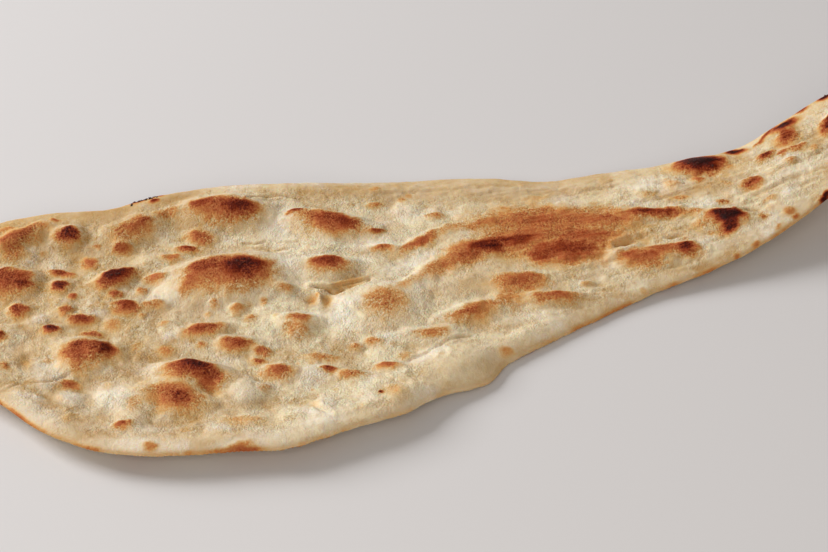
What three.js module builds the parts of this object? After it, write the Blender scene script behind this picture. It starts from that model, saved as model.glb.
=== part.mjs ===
// Naan bread: one large leavened flatbread, stretched into a teardrop and baked hot, so that its
// top is puffed into blisters.
//
// Frame: millimetres, +Z up, +X from the broad end to the drawn-out tail, +Y to the straighter
// long side. The origin is on the surface that the bread lies on, under the middle of its box.
// The bread lies on a flat patch of its underside. Its broad end is dished a little, so the rim
// there stands off the surface, and its tail curls up.
//
// The body is a grid of stations along X. Each station runs from the front edge to the back edge,
// once over the top and once, more coarsely, under the bottom. The first and the last station
// shrink to one point each.

import * as THREE from "three";

// ---- Driving dimensions ----
const LENGTH = 458; // broad end to the tip of the tail
const LIP = 2.6; // thickness of the bread close to its edge
const CRUMB = 6.8; // usual thickness between the blisters
const LIP_GROWS_OVER = 13; // distance from the edge over which the lip fills out
const EDGE_RADIUS = 1.6; // rounding of the edge itself

const DISH_RISE = 7.5; // how far the rim of the broad end stands up
const DISH_WIDTH = 35; // width of the sloping rim around the broad end
const DISH_ENDS_AT = 15; // X where the dished rim has died away
const DISH_FADES_OVER = 75;

const CURL_STARTS_AT = 60; // X where the tail leaves the surface
const CURL_RISE = 36; // height of the underside at the tip of the tail

// Plump rolls along the two long edges. crest is measured in from the edge, from and to along X.
const BROAD_ROLL = { rise: 0.8, crest: 7, width: 5.5, from: -170, to: -20 };
const FRONT_ROLL = { rise: 0.6, crest: 9, width: 7, from: -70, to: 190 };
const BACK_ROLL = { rise: 0.8, crest: 8, width: 6, from: -70, to: 140 };
const ROLL_FADES_OVER = 40;

const WAVE_HEIGHT = 0.7; // soft unevenness of the top between the blisters

const STATIONS = 84;
const TOP_ROWS = 28;
const BOTTOM_ROWS = 14;
const OUTLINE_STEPS = 240; // chords that stand for the outline where distances are measured

// ---- Outline: the two long edges, from the broad end to the tip of the tail ----
const BROAD_TIP = [-LENGTH / 2, 27];
const TAIL_TIP = [LENGTH / 2, 33];
const BACK_EDGE = [
  BROAD_TIP,
  [-222, 61],
  [-205, 80],
  [-185, 88],
  [-160, 88],
  [-134, 84],
  [-110, 87],
  [-80, 85.5],
  [-45, 78.5],
  [-9, 74.5],
  [19, 71],
  [45, 64.5],
  [66, 56],
  [93, 52.5],
  [115, 48],
  [140, 43],
  [160, 40.5],
  [182, 45.5],
  [205, 49.5],
  [220, 46],
  TAIL_TIP,
];
const FRONT_EDGE = [
  BROAD_TIP,
  [-222, -2],
  [-204, -29],
  [-190, -50],
  [-170, -67.5],
  [-145, -78],
  [-112, -84.5],
  [-93, -88.6],
  [-68, -85.5],
  [-40, -81],
  [-20, -72.5],
  [2, -68],
  [14, -58.5],
  [30, -52.5],
  [60, -42.5],
  [90, -34],
  [125, -29],
  [150, -23.5],
  [175, -15],
  [195, -8],
  [213, 3],
  [225, 18],
  TAIL_TIP,
];

// ---- Blisters: oval domes on the top. turn is in degrees from +X, rise is the height ----
// A dome is steep at its back and eases down to the front.
const PEAK_SET_BACK = 0.13; // how far the peak lies behind the middle, as a share of the width
const STEEP_SIDE = 0.75; // reach of the back side, against half the width
const GENTLE_SIDE = 1.35; // reach of the front side
const DOME_FULLNESS = 1.15;
const BLISTERS = [
  // broad end, back
  { x: -178, y: 74, long: 40, wide: 12, turn: 17, rise: 2.6 },
  { x: -156, y: 70, long: 22, wide: 14, turn: -13, rise: 3 },
  { x: -127, y: 66, long: 38, wide: 19, turn: 12, rise: 3 },
  { x: -84, y: 67, long: 54, wide: 24, turn: -15, rise: 4.6 },
  { x: -98, y: 55, long: 20, wide: 12, turn: -25, rise: 2 },
  // broad end, middle
  { x: -187, y: 48, long: 33, wide: 26, turn: -15, rise: 4 },
  { x: -166, y: 40, long: 14, wide: 13, turn: -10, rise: 2.2 },
  { x: -141, y: 38, long: 29, wide: 14, turn: 14, rise: 3.6 },
  { x: -186, y: 29, long: 15, wide: 12, turn: -16, rise: 2.4 },
  { x: -160, y: 16, long: 18, wide: 8, turn: -20, rise: 1.8 },
  { x: -140, y: 19, long: 17, wide: 11, turn: -16, rise: 2 },
  { x: -92, y: 25, long: 71, wide: 38, turn: -6, rise: 7.4 },
  // broad end, front
  { x: -165, y: -7, long: 27, wide: 29, turn: -16, rise: 4.4 },
  { x: -155, y: -8, long: 21, wide: 16, turn: -16, rise: 2 },
  { x: -149, y: -45, long: 21, wide: 31, turn: -16, rise: 3.2 },
  { x: -110, y: -6, long: 29, wide: 13, turn: -8, rise: 2.8 },
  { x: -98, y: -19, long: 26, wide: 14, turn: -16, rise: 2.8 },
  { x: -131, y: -45, long: 40, wide: 24, turn: -38, rise: 4 },
  { x: -119, y: -33, long: 42, wide: 20, turn: -26, rise: 5.4 },
  { x: -85, y: -41, long: 21, wide: 14, turn: -16, rise: 2.4 },
  { x: -103, y: -48, long: 29, wide: 26, turn: -16, rise: 2.2 },
  // middle
  { x: -38, y: 47, long: 53, wide: 20, turn: -27, rise: 4.6 },
  { x: -47, y: 20, long: 38, wide: 17, turn: -16, rise: 4.2 },
  { x: -29, y: -12, long: 41, wide: 39, turn: -16, rise: 5 },
  { x: -68, y: -12, long: 26, wide: 14, turn: -22, rise: 3.4 },
  { x: -14, y: -36, long: 38, wide: 14, turn: -8, rise: 3 },
  { x: -50, y: -7, long: 25, wide: 20, turn: -30, rise: 1.6 },
  { x: -8, y: -58, long: 69, wide: 36, turn: 14, rise: 1.2 },
  { x: 24, y: -50, long: 51, wide: 18, turn: 18, rise: 1 },
  // towards the tail
  { x: 62, y: 19, long: 90, wide: 35, turn: -17, rise: 1.4 },
  { x: 48, y: 8, long: 60, wide: 26, turn: -8, rise: 1 },
  { x: 34, y: -14, long: 39, wide: 21, turn: -14, rise: 1.6 },
  { x: 8, y: -27, long: 46, wide: 16, turn: 8, rise: 2 },
  { x: 46, y: -28, long: 40, wide: 11, turn: -12, rise: 2.8 },
  { x: 92, y: -14, long: 36, wide: 18, turn: -21, rise: 2.2 },
  { x: 106, y: 11, long: 48, wide: 10, turn: -20, rise: 1.6 },
  // tail
  { x: 138, y: 37, long: 33, wide: 18, turn: -20, rise: 4.6 },
  { x: 139, y: -5, long: 34, wide: 15, turn: -27, rise: 3 },
  { x: 201, y: 27, long: 20, wide: 13, turn: 20, rise: 2 },
  // the part of the broad end that overhangs furthest
  { x: -207, y: 43, long: 17, wide: 13, turn: -20, rise: 1.8 },
  { x: -211, y: 21, long: 14, wide: 16, turn: 0, rise: 1.6 },
];

const HALF_LENGTH = LENGTH / 2;

// 0 below from, 1 above to, smooth between.
function ease(value, from, to) {
  return THREE.MathUtils.smoothstep(value, from, to);
}

// The angle that stands for X: equal steps of it crowd the stations where the ends are round.
function angleOf(x) {
  return Math.acos(THREE.MathUtils.clamp(-x / HALF_LENGTH, -1, 1));
}

function xAt(angle) {
  return -HALF_LENGTH * Math.cos(angle);
}

// One long edge as a function of the angle, smooth through its knots and rounded at the tips.
function edgeFunction(knots) {
  const angles = knots.map(([x]) => angleOf(x));
  const slope = knots.map((knot, i) => {
    const before = Math.max(i - 1, 0);
    const after = Math.min(i + 1, knots.length - 1);
    return (knots[after][1] - knots[before][1]) / (angles[after] - angles[before]);
  });
  return (angle) => {
    let i = 0;
    while (i < knots.length - 2 && angle > angles[i + 1]) i += 1;
    const span = angles[i + 1] - angles[i];
    const t = THREE.MathUtils.clamp((angle - angles[i]) / span, 0, 1);
    const rest = 1 - t;
    return (
      knots[i][1] * rest * rest * (1 + 2 * t) +
      knots[i + 1][1] * t * t * (1 + 2 * rest) +
      span * t * rest * (slope[i] * rest - slope[i + 1] * t)
    );
  };
}

const backY = edgeFunction(BACK_EDGE);
const frontY = edgeFunction(FRONT_EDGE);

function chordsAlong(edgeY) {
  return Array.from({ length: OUTLINE_STEPS + 1 }, (_, i) => {
    const angle = (Math.PI * i) / OUTLINE_STEPS;
    return new THREE.Vector2(xAt(angle), edgeY(angle));
  });
}

const BACK_LINE = chordsAlong(backY);
const FRONT_LINE = chordsAlong(frontY);

// Distance from a point of the bread to one of its long edges.
function distanceTo(line, point) {
  let least = Infinity;
  for (let i = 1; i < line.length; i += 1) {
    const along = line[i].clone().sub(line[i - 1]);
    const out = point.clone().sub(line[i - 1]);
    const t = THREE.MathUtils.clamp(out.dot(along) / along.lengthSq(), 0, 1);
    least = Math.min(least, out.addScaledVector(along, -t).length());
  }
  return least;
}

// Height of the underside: flat, with the dished rim of the broad end and the curl of the tail.
function underside(x, inset) {
  const dish = DISH_RISE * (1 - ease(inset, 0, DISH_WIDTH));
  const dished = 1 - ease(x, DISH_ENDS_AT - DISH_FADES_OVER, DISH_ENDS_AT);
  const reach = Math.max(x - CURL_STARTS_AT, 0) / (HALF_LENGTH - CURL_STARTS_AT);
  return dish * dished + CURL_RISE * reach * reach;
}

// How far the edge's own rounding has opened, 0 at the edge and 1 past the radius.
function rounding(inset) {
  const t = Math.min(inset / EDGE_RADIUS, 1);
  return Math.sqrt(t * (2 - t));
}

function roll(x, inset, { rise, crest, width, from, to }) {
  const across = (inset - crest) / width;
  const fadesIn = ease(x, from, from + ROLL_FADES_OVER);
  const fadesOut = 1 - ease(x, to - ROLL_FADES_OVER, to);
  return rise * Math.exp(-across * across) * fadesIn * fadesOut;
}

function blister(x, y, { x: cx, y: cy, long, wide, turn, rise }) {
  const angle = THREE.MathUtils.degToRad(turn);
  const along = (x - cx) * Math.cos(angle) + (y - cy) * Math.sin(angle);
  const middle = (y - cy) * Math.cos(angle) - (x - cx) * Math.sin(angle);
  const across = middle - PEAK_SET_BACK * wide;
  const reach = (wide / 2) * (across > 0 ? STEEP_SIDE : GENTLE_SIDE);
  const r2 = (along / (long / 2)) ** 2 + (across / reach) ** 2;
  return r2 < 1 ? rise * (1 - r2) ** DOME_FULLNESS : 0;
}

function waves(x, y) {
  const slow = Math.sin(x / 17 + 1.3) * Math.cos(y / 13 - 0.4);
  const quick = Math.sin(x / 9.1 - y / 14 + 2.1) * Math.cos(y / 8.3 + x / 23);
  return WAVE_HEIGHT * (0.6 * slow + 0.4 * quick);
}

// Thickness of the bread at a point, which lies this far in from the front and the back edge.
function thickness(x, y, frontInset, backInset) {
  const inset = Math.min(frontInset, backInset);
  const body = LIP + (CRUMB - LIP) * (1 - Math.exp(-inset / LIP_GROWS_OVER));
  const rolls =
    roll(x, frontInset, BROAD_ROLL) +
    roll(x, frontInset, FRONT_ROLL) +
    roll(x, backInset, BACK_ROLL);
  const inner = ease(inset, EDGE_RADIUS, LIP_GROWS_OVER);
  const puffed = BLISTERS.reduce((sum, one) => sum + blister(x, y, one), 0);
  return (body + rolls + inner * (puffed + waves(x, y))) * rounding(inset);
}

// A point of the bread: top is true for its upper face.
function surfacePoint(angle, share, top) {
  const x = xAt(angle);
  const y = THREE.MathUtils.lerp(frontY(angle), backY(angle), share);
  const point = new THREE.Vector2(x, y);
  const frontInset = distanceTo(FRONT_LINE, point);
  const backInset = distanceTo(BACK_LINE, point);
  const inset = Math.min(frontInset, backInset);
  const lower = underside(x, inset) + (LIP / 2) * (1 - rounding(inset));
  return [x, y, top ? lower + thickness(x, y, frontInset, backInset) : lower];
}

// Rows crowd towards both edges, where the lip turns over.
function shareOf(row, rows) {
  return (1 - Math.cos((Math.PI * row) / rows)) / 2;
}

function makeBread() {
  const places = [];
  const faces = [];
  // Adds a point and gives its number.
  const addPoint = (angle, share, top) => {
    places.push(...surfacePoint(angle, share, top));
    return places.length / 3 - 1;
  };
  const broadTip = addPoint(0, 0, false);
  const tailTip = addPoint(Math.PI, 0, false);
  const rims = [];
  for (let i = 1; i < STATIONS; i += 1) {
    const angle = (Math.PI * i) / STATIONS;
    rims.push({ angle, front: addPoint(angle, 0, false), back: addPoint(angle, 1, false) });
  }

  // One face of the bread. Its outer rows are the rims, which both faces share.
  const addFace = (rows, top) => {
    const lines = rims.map(({ angle, front, back }) => {
      const line = [front];
      for (let row = 1; row < rows; row += 1) line.push(addPoint(angle, shareOf(row, rows), top));
      return [...line, back];
    });
    const addTriangle = (a, b, c) => faces.push(...(top ? [a, b, c] : [a, c, b]));
    for (let row = 0; row < rows; row += 1) {
      addTriangle(broadTip, lines[0][row], lines[0][row + 1]);
      for (let i = 1; i < lines.length; i += 1) {
        addTriangle(lines[i - 1][row], lines[i][row], lines[i - 1][row + 1]);
        addTriangle(lines[i][row], lines[i][row + 1], lines[i - 1][row + 1]);
      }
      addTriangle(lines.at(-1)[row], tailTip, lines.at(-1)[row + 1]);
    }
  };
  addFace(TOP_ROWS, true);
  addFace(BOTTOM_ROWS, false);

  const geometry = new THREE.BufferGeometry();
  geometry.setAttribute("position", new THREE.Float32BufferAttribute(places, 3));
  geometry.setIndex(faces);
  geometry.computeVertexNormals();
  return geometry;
}

const crust = new THREE.MeshStandardMaterial({ color: 0xe6d5b4, roughness: 0.85, metalness: 0 });
const bread = new THREE.Mesh(makeBread(), crust);
bread.name = "naan";

const object = new THREE.Group();
object.add(bread);
export default object;
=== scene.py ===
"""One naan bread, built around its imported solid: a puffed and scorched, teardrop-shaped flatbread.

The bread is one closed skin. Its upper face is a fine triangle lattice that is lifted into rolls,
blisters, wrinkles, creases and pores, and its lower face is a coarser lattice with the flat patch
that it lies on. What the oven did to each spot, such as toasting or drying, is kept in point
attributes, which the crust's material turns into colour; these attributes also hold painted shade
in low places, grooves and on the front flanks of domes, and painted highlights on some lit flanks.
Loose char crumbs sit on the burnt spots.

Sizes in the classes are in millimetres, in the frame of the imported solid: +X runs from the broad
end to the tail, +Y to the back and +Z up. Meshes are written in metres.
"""

import logging
import math
from dataclasses import dataclass
from enum import Enum, IntEnum
from functools import partial
from typing import Any

import bpy
import numpy as np
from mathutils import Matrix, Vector
from mathutils.geometry import delaunay_2d_cdt


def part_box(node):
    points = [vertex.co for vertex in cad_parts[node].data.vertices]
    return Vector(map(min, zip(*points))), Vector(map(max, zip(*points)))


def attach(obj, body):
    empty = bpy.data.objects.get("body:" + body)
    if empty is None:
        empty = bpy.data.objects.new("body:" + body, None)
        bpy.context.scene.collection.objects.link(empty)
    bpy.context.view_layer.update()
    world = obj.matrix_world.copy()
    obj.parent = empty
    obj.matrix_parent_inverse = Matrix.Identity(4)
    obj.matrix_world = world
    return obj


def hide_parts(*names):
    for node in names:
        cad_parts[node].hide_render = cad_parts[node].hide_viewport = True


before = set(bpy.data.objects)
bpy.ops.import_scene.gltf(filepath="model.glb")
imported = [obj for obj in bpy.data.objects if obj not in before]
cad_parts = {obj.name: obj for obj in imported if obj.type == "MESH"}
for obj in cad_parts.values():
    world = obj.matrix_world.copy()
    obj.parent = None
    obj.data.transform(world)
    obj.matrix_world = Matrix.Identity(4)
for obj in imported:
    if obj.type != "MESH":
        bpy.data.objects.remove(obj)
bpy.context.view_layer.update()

LOG = logging.getLogger("naan")
MM = 0.001
MERGING = 6  # how nearly strongest() takes the greatest of its layers
Values = np.ndarray


class Layer(Enum):
    """Point attributes that keep the bread's baking, painted shade and painted highlights; the values are
    their names.
    """

    TOAST = "toast"
    GOLD = "gold"
    # The flour layer also holds painted highlights on lit flanks.
    FLOUR = "flour"
    # The tan layer also holds painted shade.
    HOLLOW = "hollow"
    CHAR = "char"
    GRAIN = "grain"


class Seed(IntEnum):
    """Numbers that fix the random patterns."""

    CRUMBS = 7
    EDGE = 11
    SHIFT_X = 21
    SHIFT_Y = 22
    SCORCH_EDGES = 23
    WAVES = 31
    FOLDS = 32
    STREAKS = 33
    ROUGHNESS = 34
    PIMPLE_GROUPS = 35
    LUMPS = 41
    BUBBLES = 42
    PITS = 43
    BEADS = 45
    PIMPLES = 46
    FRECKLES = 51
    SPECKS = 52
    FRECKLE_CLOUDS = 53
    BROWNED_EDGE = 54
    FLOUR = 55
    FIBRES = 56
    GOLDEN_CLOUDS = 57
    GRAIN_CLOUDS = 58
    PUCKERS = 61
    DENTS = 62
    LEOPARD = 63
    UNDER_SPECKS = 64
    UNDER_CLOUDS = 65
    UNDER_FLOUR = 66


# ---------------------------------------------------------------------------------------------
# Small helpers
# ---------------------------------------------------------------------------------------------


def linear(code: str) -> tuple[float, float, float, float]:
    """Turns an sRGB colour into scene-linear RGBA.

    Args:
        code: Six hex digits, such as "e6d5b4".

    Returns:
        Red, green, blue and an alpha of 1.
    """
    parts = [int(code[i : i + 2], 16) / 255 for i in (0, 2, 4)]
    red, green, blue = (c / 12.92 if c <= 0.04045 else ((c + 0.055) / 1.055) ** 2.4 for c in parts)
    return red, green, blue, 1.0


def ease(value: Values, start: float, end: float) -> Values:
    """Rises smoothly from 0 at start to 1 at end.

    Args:
        value: Numbers to ease.
        start: Where the rise begins.
        end: Where it is complete.

    Returns:
        Shares from 0 to 1, in the shape of value.
    """
    t = np.clip((value - start) / (end - start), 0.0, 1.0)
    return t * t * (3.0 - 2.0 * t)


def turned(x: Values, y: Values, degrees: float) -> tuple[Values, Values]:
    """Gives coordinates along and across a direction.

    Args:
        x: X of the points, from the place to turn about.
        y: Y of the points, from that place.
        degrees: The direction, anticlockwise from +X.

    Returns:
        How far each point lies along and across the direction.
    """
    cos, sin = math.cos(math.radians(degrees)), math.sin(math.radians(degrees))
    return x * cos + y * sin, y * cos - x * sin


def strongest(layers: list[Values]) -> Values:
    """Merges overlapping spots softly, a little above the strongest of them.

    Args:
        layers: Strengths of equal shape, each 0 or more.

    Returns:
        The merged strengths.
    """
    return sum(layer**MERGING for layer in layers) ** (1 / MERGING)


def ridged(noise: Values) -> Values:
    """Turns smooth noise into sharp-crested wrinkles, 1 at the crests."""
    return 1.0 - np.abs(noise) * 2.2


class Noise:
    """Smooth gradient noise on the plane, the same for the same seed."""

    SIZE = 256

    def __init__(self, seed: int) -> None:
        """Draws the gradients.

        Args:
            seed: Number that fixes the pattern.
        """
        turns = np.random.default_rng(seed).uniform(0.0, 2.0 * math.pi, (self.SIZE, self.SIZE))
        self.gradient_x = np.cos(turns)
        self.gradient_y = np.sin(turns)

    def at(self, x: Values, y: Values) -> Values:
        """Evaluates the noise, whose bumps are about one unit across.

        Args:
            x: First coordinate.
            y: Second coordinate.

        Returns:
            Values from about -1 to 1.
        """
        column, row = np.floor(x).astype(int), np.floor(y).astype(int)
        right, up = x - column, y - row
        fade_x = right**3 * (right * (right * 6 - 15) + 10)
        fade_y = up**3 * (up * (up * 6 - 15) + 10)

        def corner(step_x: int, step_y: int) -> Values:
            """The pull of one corner of the square."""
            i, j = (column + step_x) % self.SIZE, (row + step_y) % self.SIZE
            return self.gradient_x[i, j] * (right - step_x) + self.gradient_y[i, j] * (up - step_y)

        low = corner(0, 0) + fade_x * (corner(1, 0) - corner(0, 0))
        high = corner(0, 1) + fade_x * (corner(1, 1) - corner(0, 1))
        return 1.5 * (low + fade_y * (high - low))

    def layered(self, x: Values, y: Values, octaves: int) -> Values:
        """Sums ever finer noise, each octave half as strong as the one before.

        Args:
            x: First coordinate.
            y: Second coordinate.
            octaves: How many layers there are.

        Returns:
            Values from about -1 to 1.
        """
        total = sum(self.at(x * 2**k + 7 * k, y * 2**k - 5 * k) / 2**k for k in range(octaves))
        return total / (2 - 2 ** (1 - octaves))


@dataclass
class Spots:
    """Round spots strewn at random, at most one to a square of the plane.

    Attributes:
        seed: Number that fixes the pattern.
        pitch: Side of a square.
        smallest: Least radius of a spot.
        largest: Greatest radius of a spot, below the pitch.
        share: Part of the squares that hold a spot.
    """

    seed: int
    pitch: float
    smallest: float
    largest: float
    share: float

    SIZE = 128

    def __post_init__(self) -> None:
        """Draws each square's spot."""
        rng = np.random.default_rng(self.seed)
        self.place = rng.uniform(0.0, 1.0, (2, self.SIZE, self.SIZE))
        self.radius = rng.uniform(self.smallest, self.largest, (self.SIZE, self.SIZE))
        self.strength = rng.uniform(0.35, 1.0, (self.SIZE, self.SIZE))
        self.strength *= rng.uniform(0.0, 1.0, (self.SIZE, self.SIZE)) < self.share

    def at(self, x: Values, y: Values) -> Values:
        """Evaluates the domed spots.

        Args:
            x: X of the points.
            y: Y of the points.

        Returns:
            0 outside every spot, up to 1 at the middle of a strong one.
        """
        across, up = x / self.pitch, y / self.pitch
        column, row = np.floor(across).astype(int), np.floor(up).astype(int)
        found = np.zeros(np.shape(x))
        for step_x in (-1, 0, 1):
            for step_y in (-1, 0, 1):
                i, j = (column + step_x) % self.SIZE, (row + step_y) % self.SIZE
                gap_x = across - (column + step_x + self.place[0, i, j])
                gap_y = up - (row + step_y + self.place[1, i, j])
                reach = (gap_x**2 + gap_y**2) * self.pitch**2 / self.radius[i, j] ** 2
                found = np.maximum(found, ease(1.0 - reach, 0.0, 1.0) * self.strength[i, j])
        return found


# ---------------------------------------------------------------------------------------------
# The outline
# ---------------------------------------------------------------------------------------------


@dataclass(frozen=True)
class Outline:
    """The bread seen from above: two long edges that meet in a rounded tip at each end.

    Each edge is Y as a smooth function of an angle that stands for X, which makes the tips round.

    Attributes:
        half_length: Half the bread's length.
        broad_tip: Y of the broad end's tip.
        tail_tip: Y of the tail's tip.
        back: Knots of the back edge, from the broad end to the tail.
        front: Knots of the front edge, from the broad end to the tail.
        ragged: How far the edge wanders in and out of its smooth line.
    """

    half_length: float
    broad_tip: float = 27.0
    tail_tip: float = 33.0
    back: tuple[tuple[float, float], ...] = (
        (-222, 61), (-205, 80), (-185, 88), (-160, 88), (-134, 84), (-110, 87), (-80, 85.5),
        (-45, 78.5), (-9, 74.5), (19, 71), (45, 64.5), (66, 56), (93, 52.5), (115, 48),
        (140, 43), (160, 40.5), (182, 45.5), (205, 49.5), (220, 46),
    )  # fmt: skip
    front: tuple[tuple[float, float], ...] = (
        (-222, -2), (-204, -29), (-190, -50), (-170, -67.5), (-145, -78), (-112, -84.5),
        (-93, -88.6), (-68, -85.5), (-40, -81), (-20, -72.5), (2, -68), (14, -58.5),
        (30, -52.5), (60, -42.5), (90, -34), (125, -29), (150, -23.5), (175, -15), (195, -8),
        (213, 3), (225, 18),
    )  # fmt: skip
    ragged: float = 0.7

    CHORDS = 4000  # in each long edge, where the loop's points are found

    def edge(self, knots: tuple[tuple[float, float], ...], angle: Values) -> Values:
        """Follows one long edge.

        Args:
            knots: The edge's knots.
            angle: 0 at the broad tip to pi at the tail's tip.

        Returns:
            Y at each angle.
        """
        tips = ((-self.half_length, self.broad_tip), (self.half_length, self.tail_tip))
        points = np.array([tips[0], *knots, tips[1]], float)
        at = np.arccos(np.clip(-points[:, 0] / self.half_length, -1.0, 1.0))
        height = points[:, 1]
        before = np.maximum(np.arange(len(at)) - 1, 0)
        after = np.minimum(np.arange(len(at)) + 1, len(at) - 1)
        slope = (height[after] - height[before]) / (at[after] - at[before])
        i = np.clip(np.searchsorted(at, angle) - 1, 0, len(at) - 2)
        span = at[i + 1] - at[i]
        t = np.clip((angle - at[i]) / span, 0.0, 1.0)
        rest = 1.0 - t
        ends = height[i] * rest**2 * (1 + 2 * t) + height[i + 1] * t**2 * (1 + 2 * rest)
        return ends + span * t * rest * (slope[i] * rest - slope[i + 1] * t)

    def long_edges(self, steps: int) -> tuple[Values, Values]:
        """Gives both long edges as lines of points from the broad tip to the tail's tip.

        Args:
            steps: Chords in each line.

        Returns:
            The front and the back line, each of shape (steps + 1, 2).
        """
        angle = np.linspace(0.0, math.pi, steps + 1)
        x = -self.half_length * np.cos(angle)
        wander = Noise(Seed.EDGE)
        inner = self.ragged * np.sin(angle) ** 0.5
        lines = []
        for knots, side in ((self.front, -1.0), (self.back, 1.0)):
            y = self.edge(knots, angle)
            rough = wander.layered(x / 11.0, np.full_like(x, 9.0 * side), 3)
            lines.append(np.stack([x, y - side * inner * (0.5 + rough)], axis=1))
        return lines[0], lines[1]

    def loop(self, spacing: float) -> Values:
        """Gives the whole outline, anticlockwise, as evenly spaced points.

        Args:
            spacing: Wanted gap between neighbours.

        Returns:
            Points of shape (n, 2), with no repeated end.
        """
        front, back = self.long_edges(self.CHORDS)
        line = np.concatenate([front, back[-2::-1]])
        travelled = np.concatenate([[0.0], np.cumsum(np.linalg.norm(np.diff(line, axis=0), axis=1))])
        at = np.linspace(0.0, travelled[-1], round(travelled[-1] / spacing) + 1)[:-1]
        return np.stack([np.interp(at, travelled, line[:, k]) for k in (0, 1)], axis=1)


def distance_to(line: Values, points: Values) -> Values:
    """Measures how far points lie from a line of chords.

    Args:
        line: The line's points, of shape (m, 2).
        points: Points to measure from, of shape (n, 2).

    Returns:
        The least distance of each point.
    """
    start, along = line[:-1], np.diff(line, axis=0)
    not_zero = 1e-12
    length2 = np.maximum((along**2).sum(axis=1), not_zero)
    least = np.empty(len(points))
    block = 4096  # points at a time, to spare memory
    for first in range(0, len(points), block):
        out_x = points[first : first + block, 0, None] - start[None, :, 0]
        out_y = points[first : first + block, 1, None] - start[None, :, 1]
        t = np.clip((out_x * along[:, 0] + out_y * along[:, 1]) / length2, 0.0, 1.0)
        gap2 = (out_x - t * along[:, 0]) ** 2 + (out_y - t * along[:, 1]) ** 2
        least[first : first + block] = np.sqrt(gap2.min(axis=1))
    return least


# ---------------------------------------------------------------------------------------------
# What the oven did: blisters, scorches and creases
# ---------------------------------------------------------------------------------------------
# The gold, tan and whitish patches and the crease colours below are partly painted shade and painted
# highlights.


@dataclass(frozen=True)
class Blister:
    """One oval blister on the top, and how far its crown is toasted.

    Attributes:
        x: X of the toasted crown.
        y: Y of the toasted crown.
        long: Length of the toasted oval.
        wide: Its width.
        turn: Direction of its length, in degrees from +X.
        rise: Height of the dome; below 0 it is a dent, and at 0 only a scorch.
        toast: 0 for raw dough colour, 0.5 for brown, 1 for black.
        skirt: How much larger than the toasted oval the dome is.
    """

    x: float
    y: float
    long: float
    wide: float
    turn: float
    rise: float
    toast: float
    skirt: float = 1.35

    PEAK_SET_BACK = 0.18  # how far the peak lies behind the middle, as a share of the width
    STEEP_SIDE, GENTLE_SIDE = 0.75, 1.35  # reach of the dome's back and front, against half the width
    FULLNESS = 1.15
    SCORCH_LENGTH = 0.52  # reach of the scorch along the oval, as a share of its length
    SCORCH_BACK, SCORCH_FRONT = 0.46, 0.58  # and across it, as shares of its width
    SHARP_FALL, SOFT_FALL = 4.0, 2.1  # how abruptly the scorch ends at its back and front
    # The halo's lean to the front is painted shade on the dome's shaded front flank.
    HALO_FORWARD = 0.2  # how far the halo lies in front, as a share of the width
    MARGIN = 16.0  # points further off than this are left alone

    def near(self, x: Values, y: Values) -> Values:
        """Tells which points the blister may reach."""
        return np.abs(x - self.x) + np.abs(y - self.y) < 1.6 * self.long + self.MARGIN

    def dome(self, x: Values, y: Values) -> Values:
        """Height of the dome, which is steep at its back and eases down to the front.

        Args:
            x: X of the points.
            y: Y of the points.

        Returns:
            Heights over the body.
        """
        along, across = turned(x - self.x, y - self.y, self.turn)
        across = across - self.PEAK_SET_BACK * self.wide
        length = self.long * self.skirt / 2
        width = self.wide * self.skirt / 2 * np.where(across > 0, self.STEEP_SIDE, self.GENTLE_SIDE)
        reach2 = (along / length) ** 2 + (across / width) ** 2
        return self.rise * np.clip(1.0 - reach2, 0.0, 1.0) ** self.FULLNESS

    def scorch(self, x: Values, y: Values, ragged: Values) -> Values:
        """Toast of the crown, whose edge is sharper at the back.

        Args:
            x: X of the points.
            y: Y of the points.
            ragged: Factors near 1 that make the edge uneven.

        Returns:
            Toast from 0 to 1.
        """
        along, across = turned(x - self.x, y - self.y, self.turn)
        reach_across = self.wide * np.where(across > 0, self.SCORCH_BACK, self.SCORCH_FRONT)
        reach = np.hypot(along / (self.long * self.SCORCH_LENGTH), across / reach_across)
        fall = np.where(across > 0, self.SHARP_FALL, self.SOFT_FALL)
        return self.toast * np.exp(-1.05 * (reach * ragged) ** fall)

    def halo(self, x: Values, y: Values) -> Values:
        """Gold of the thin skin round the crown, pushed to its front as painted shade on the front flank.

        Args:
            x: X of the points.
            y: Y of the points.

        Returns:
            Gold from 0 to 1.
        """
        along, across = turned(x - self.x, y - self.y, self.turn)
        off_x, off_y = along - 0.08 * self.long, across + self.HALO_FORWARD * self.wide
        reach = np.hypot(off_x / self.long, off_y / self.wide)
        return min(1.5 * self.toast, 1.0) * np.exp(-1.6 * reach**2)


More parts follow.
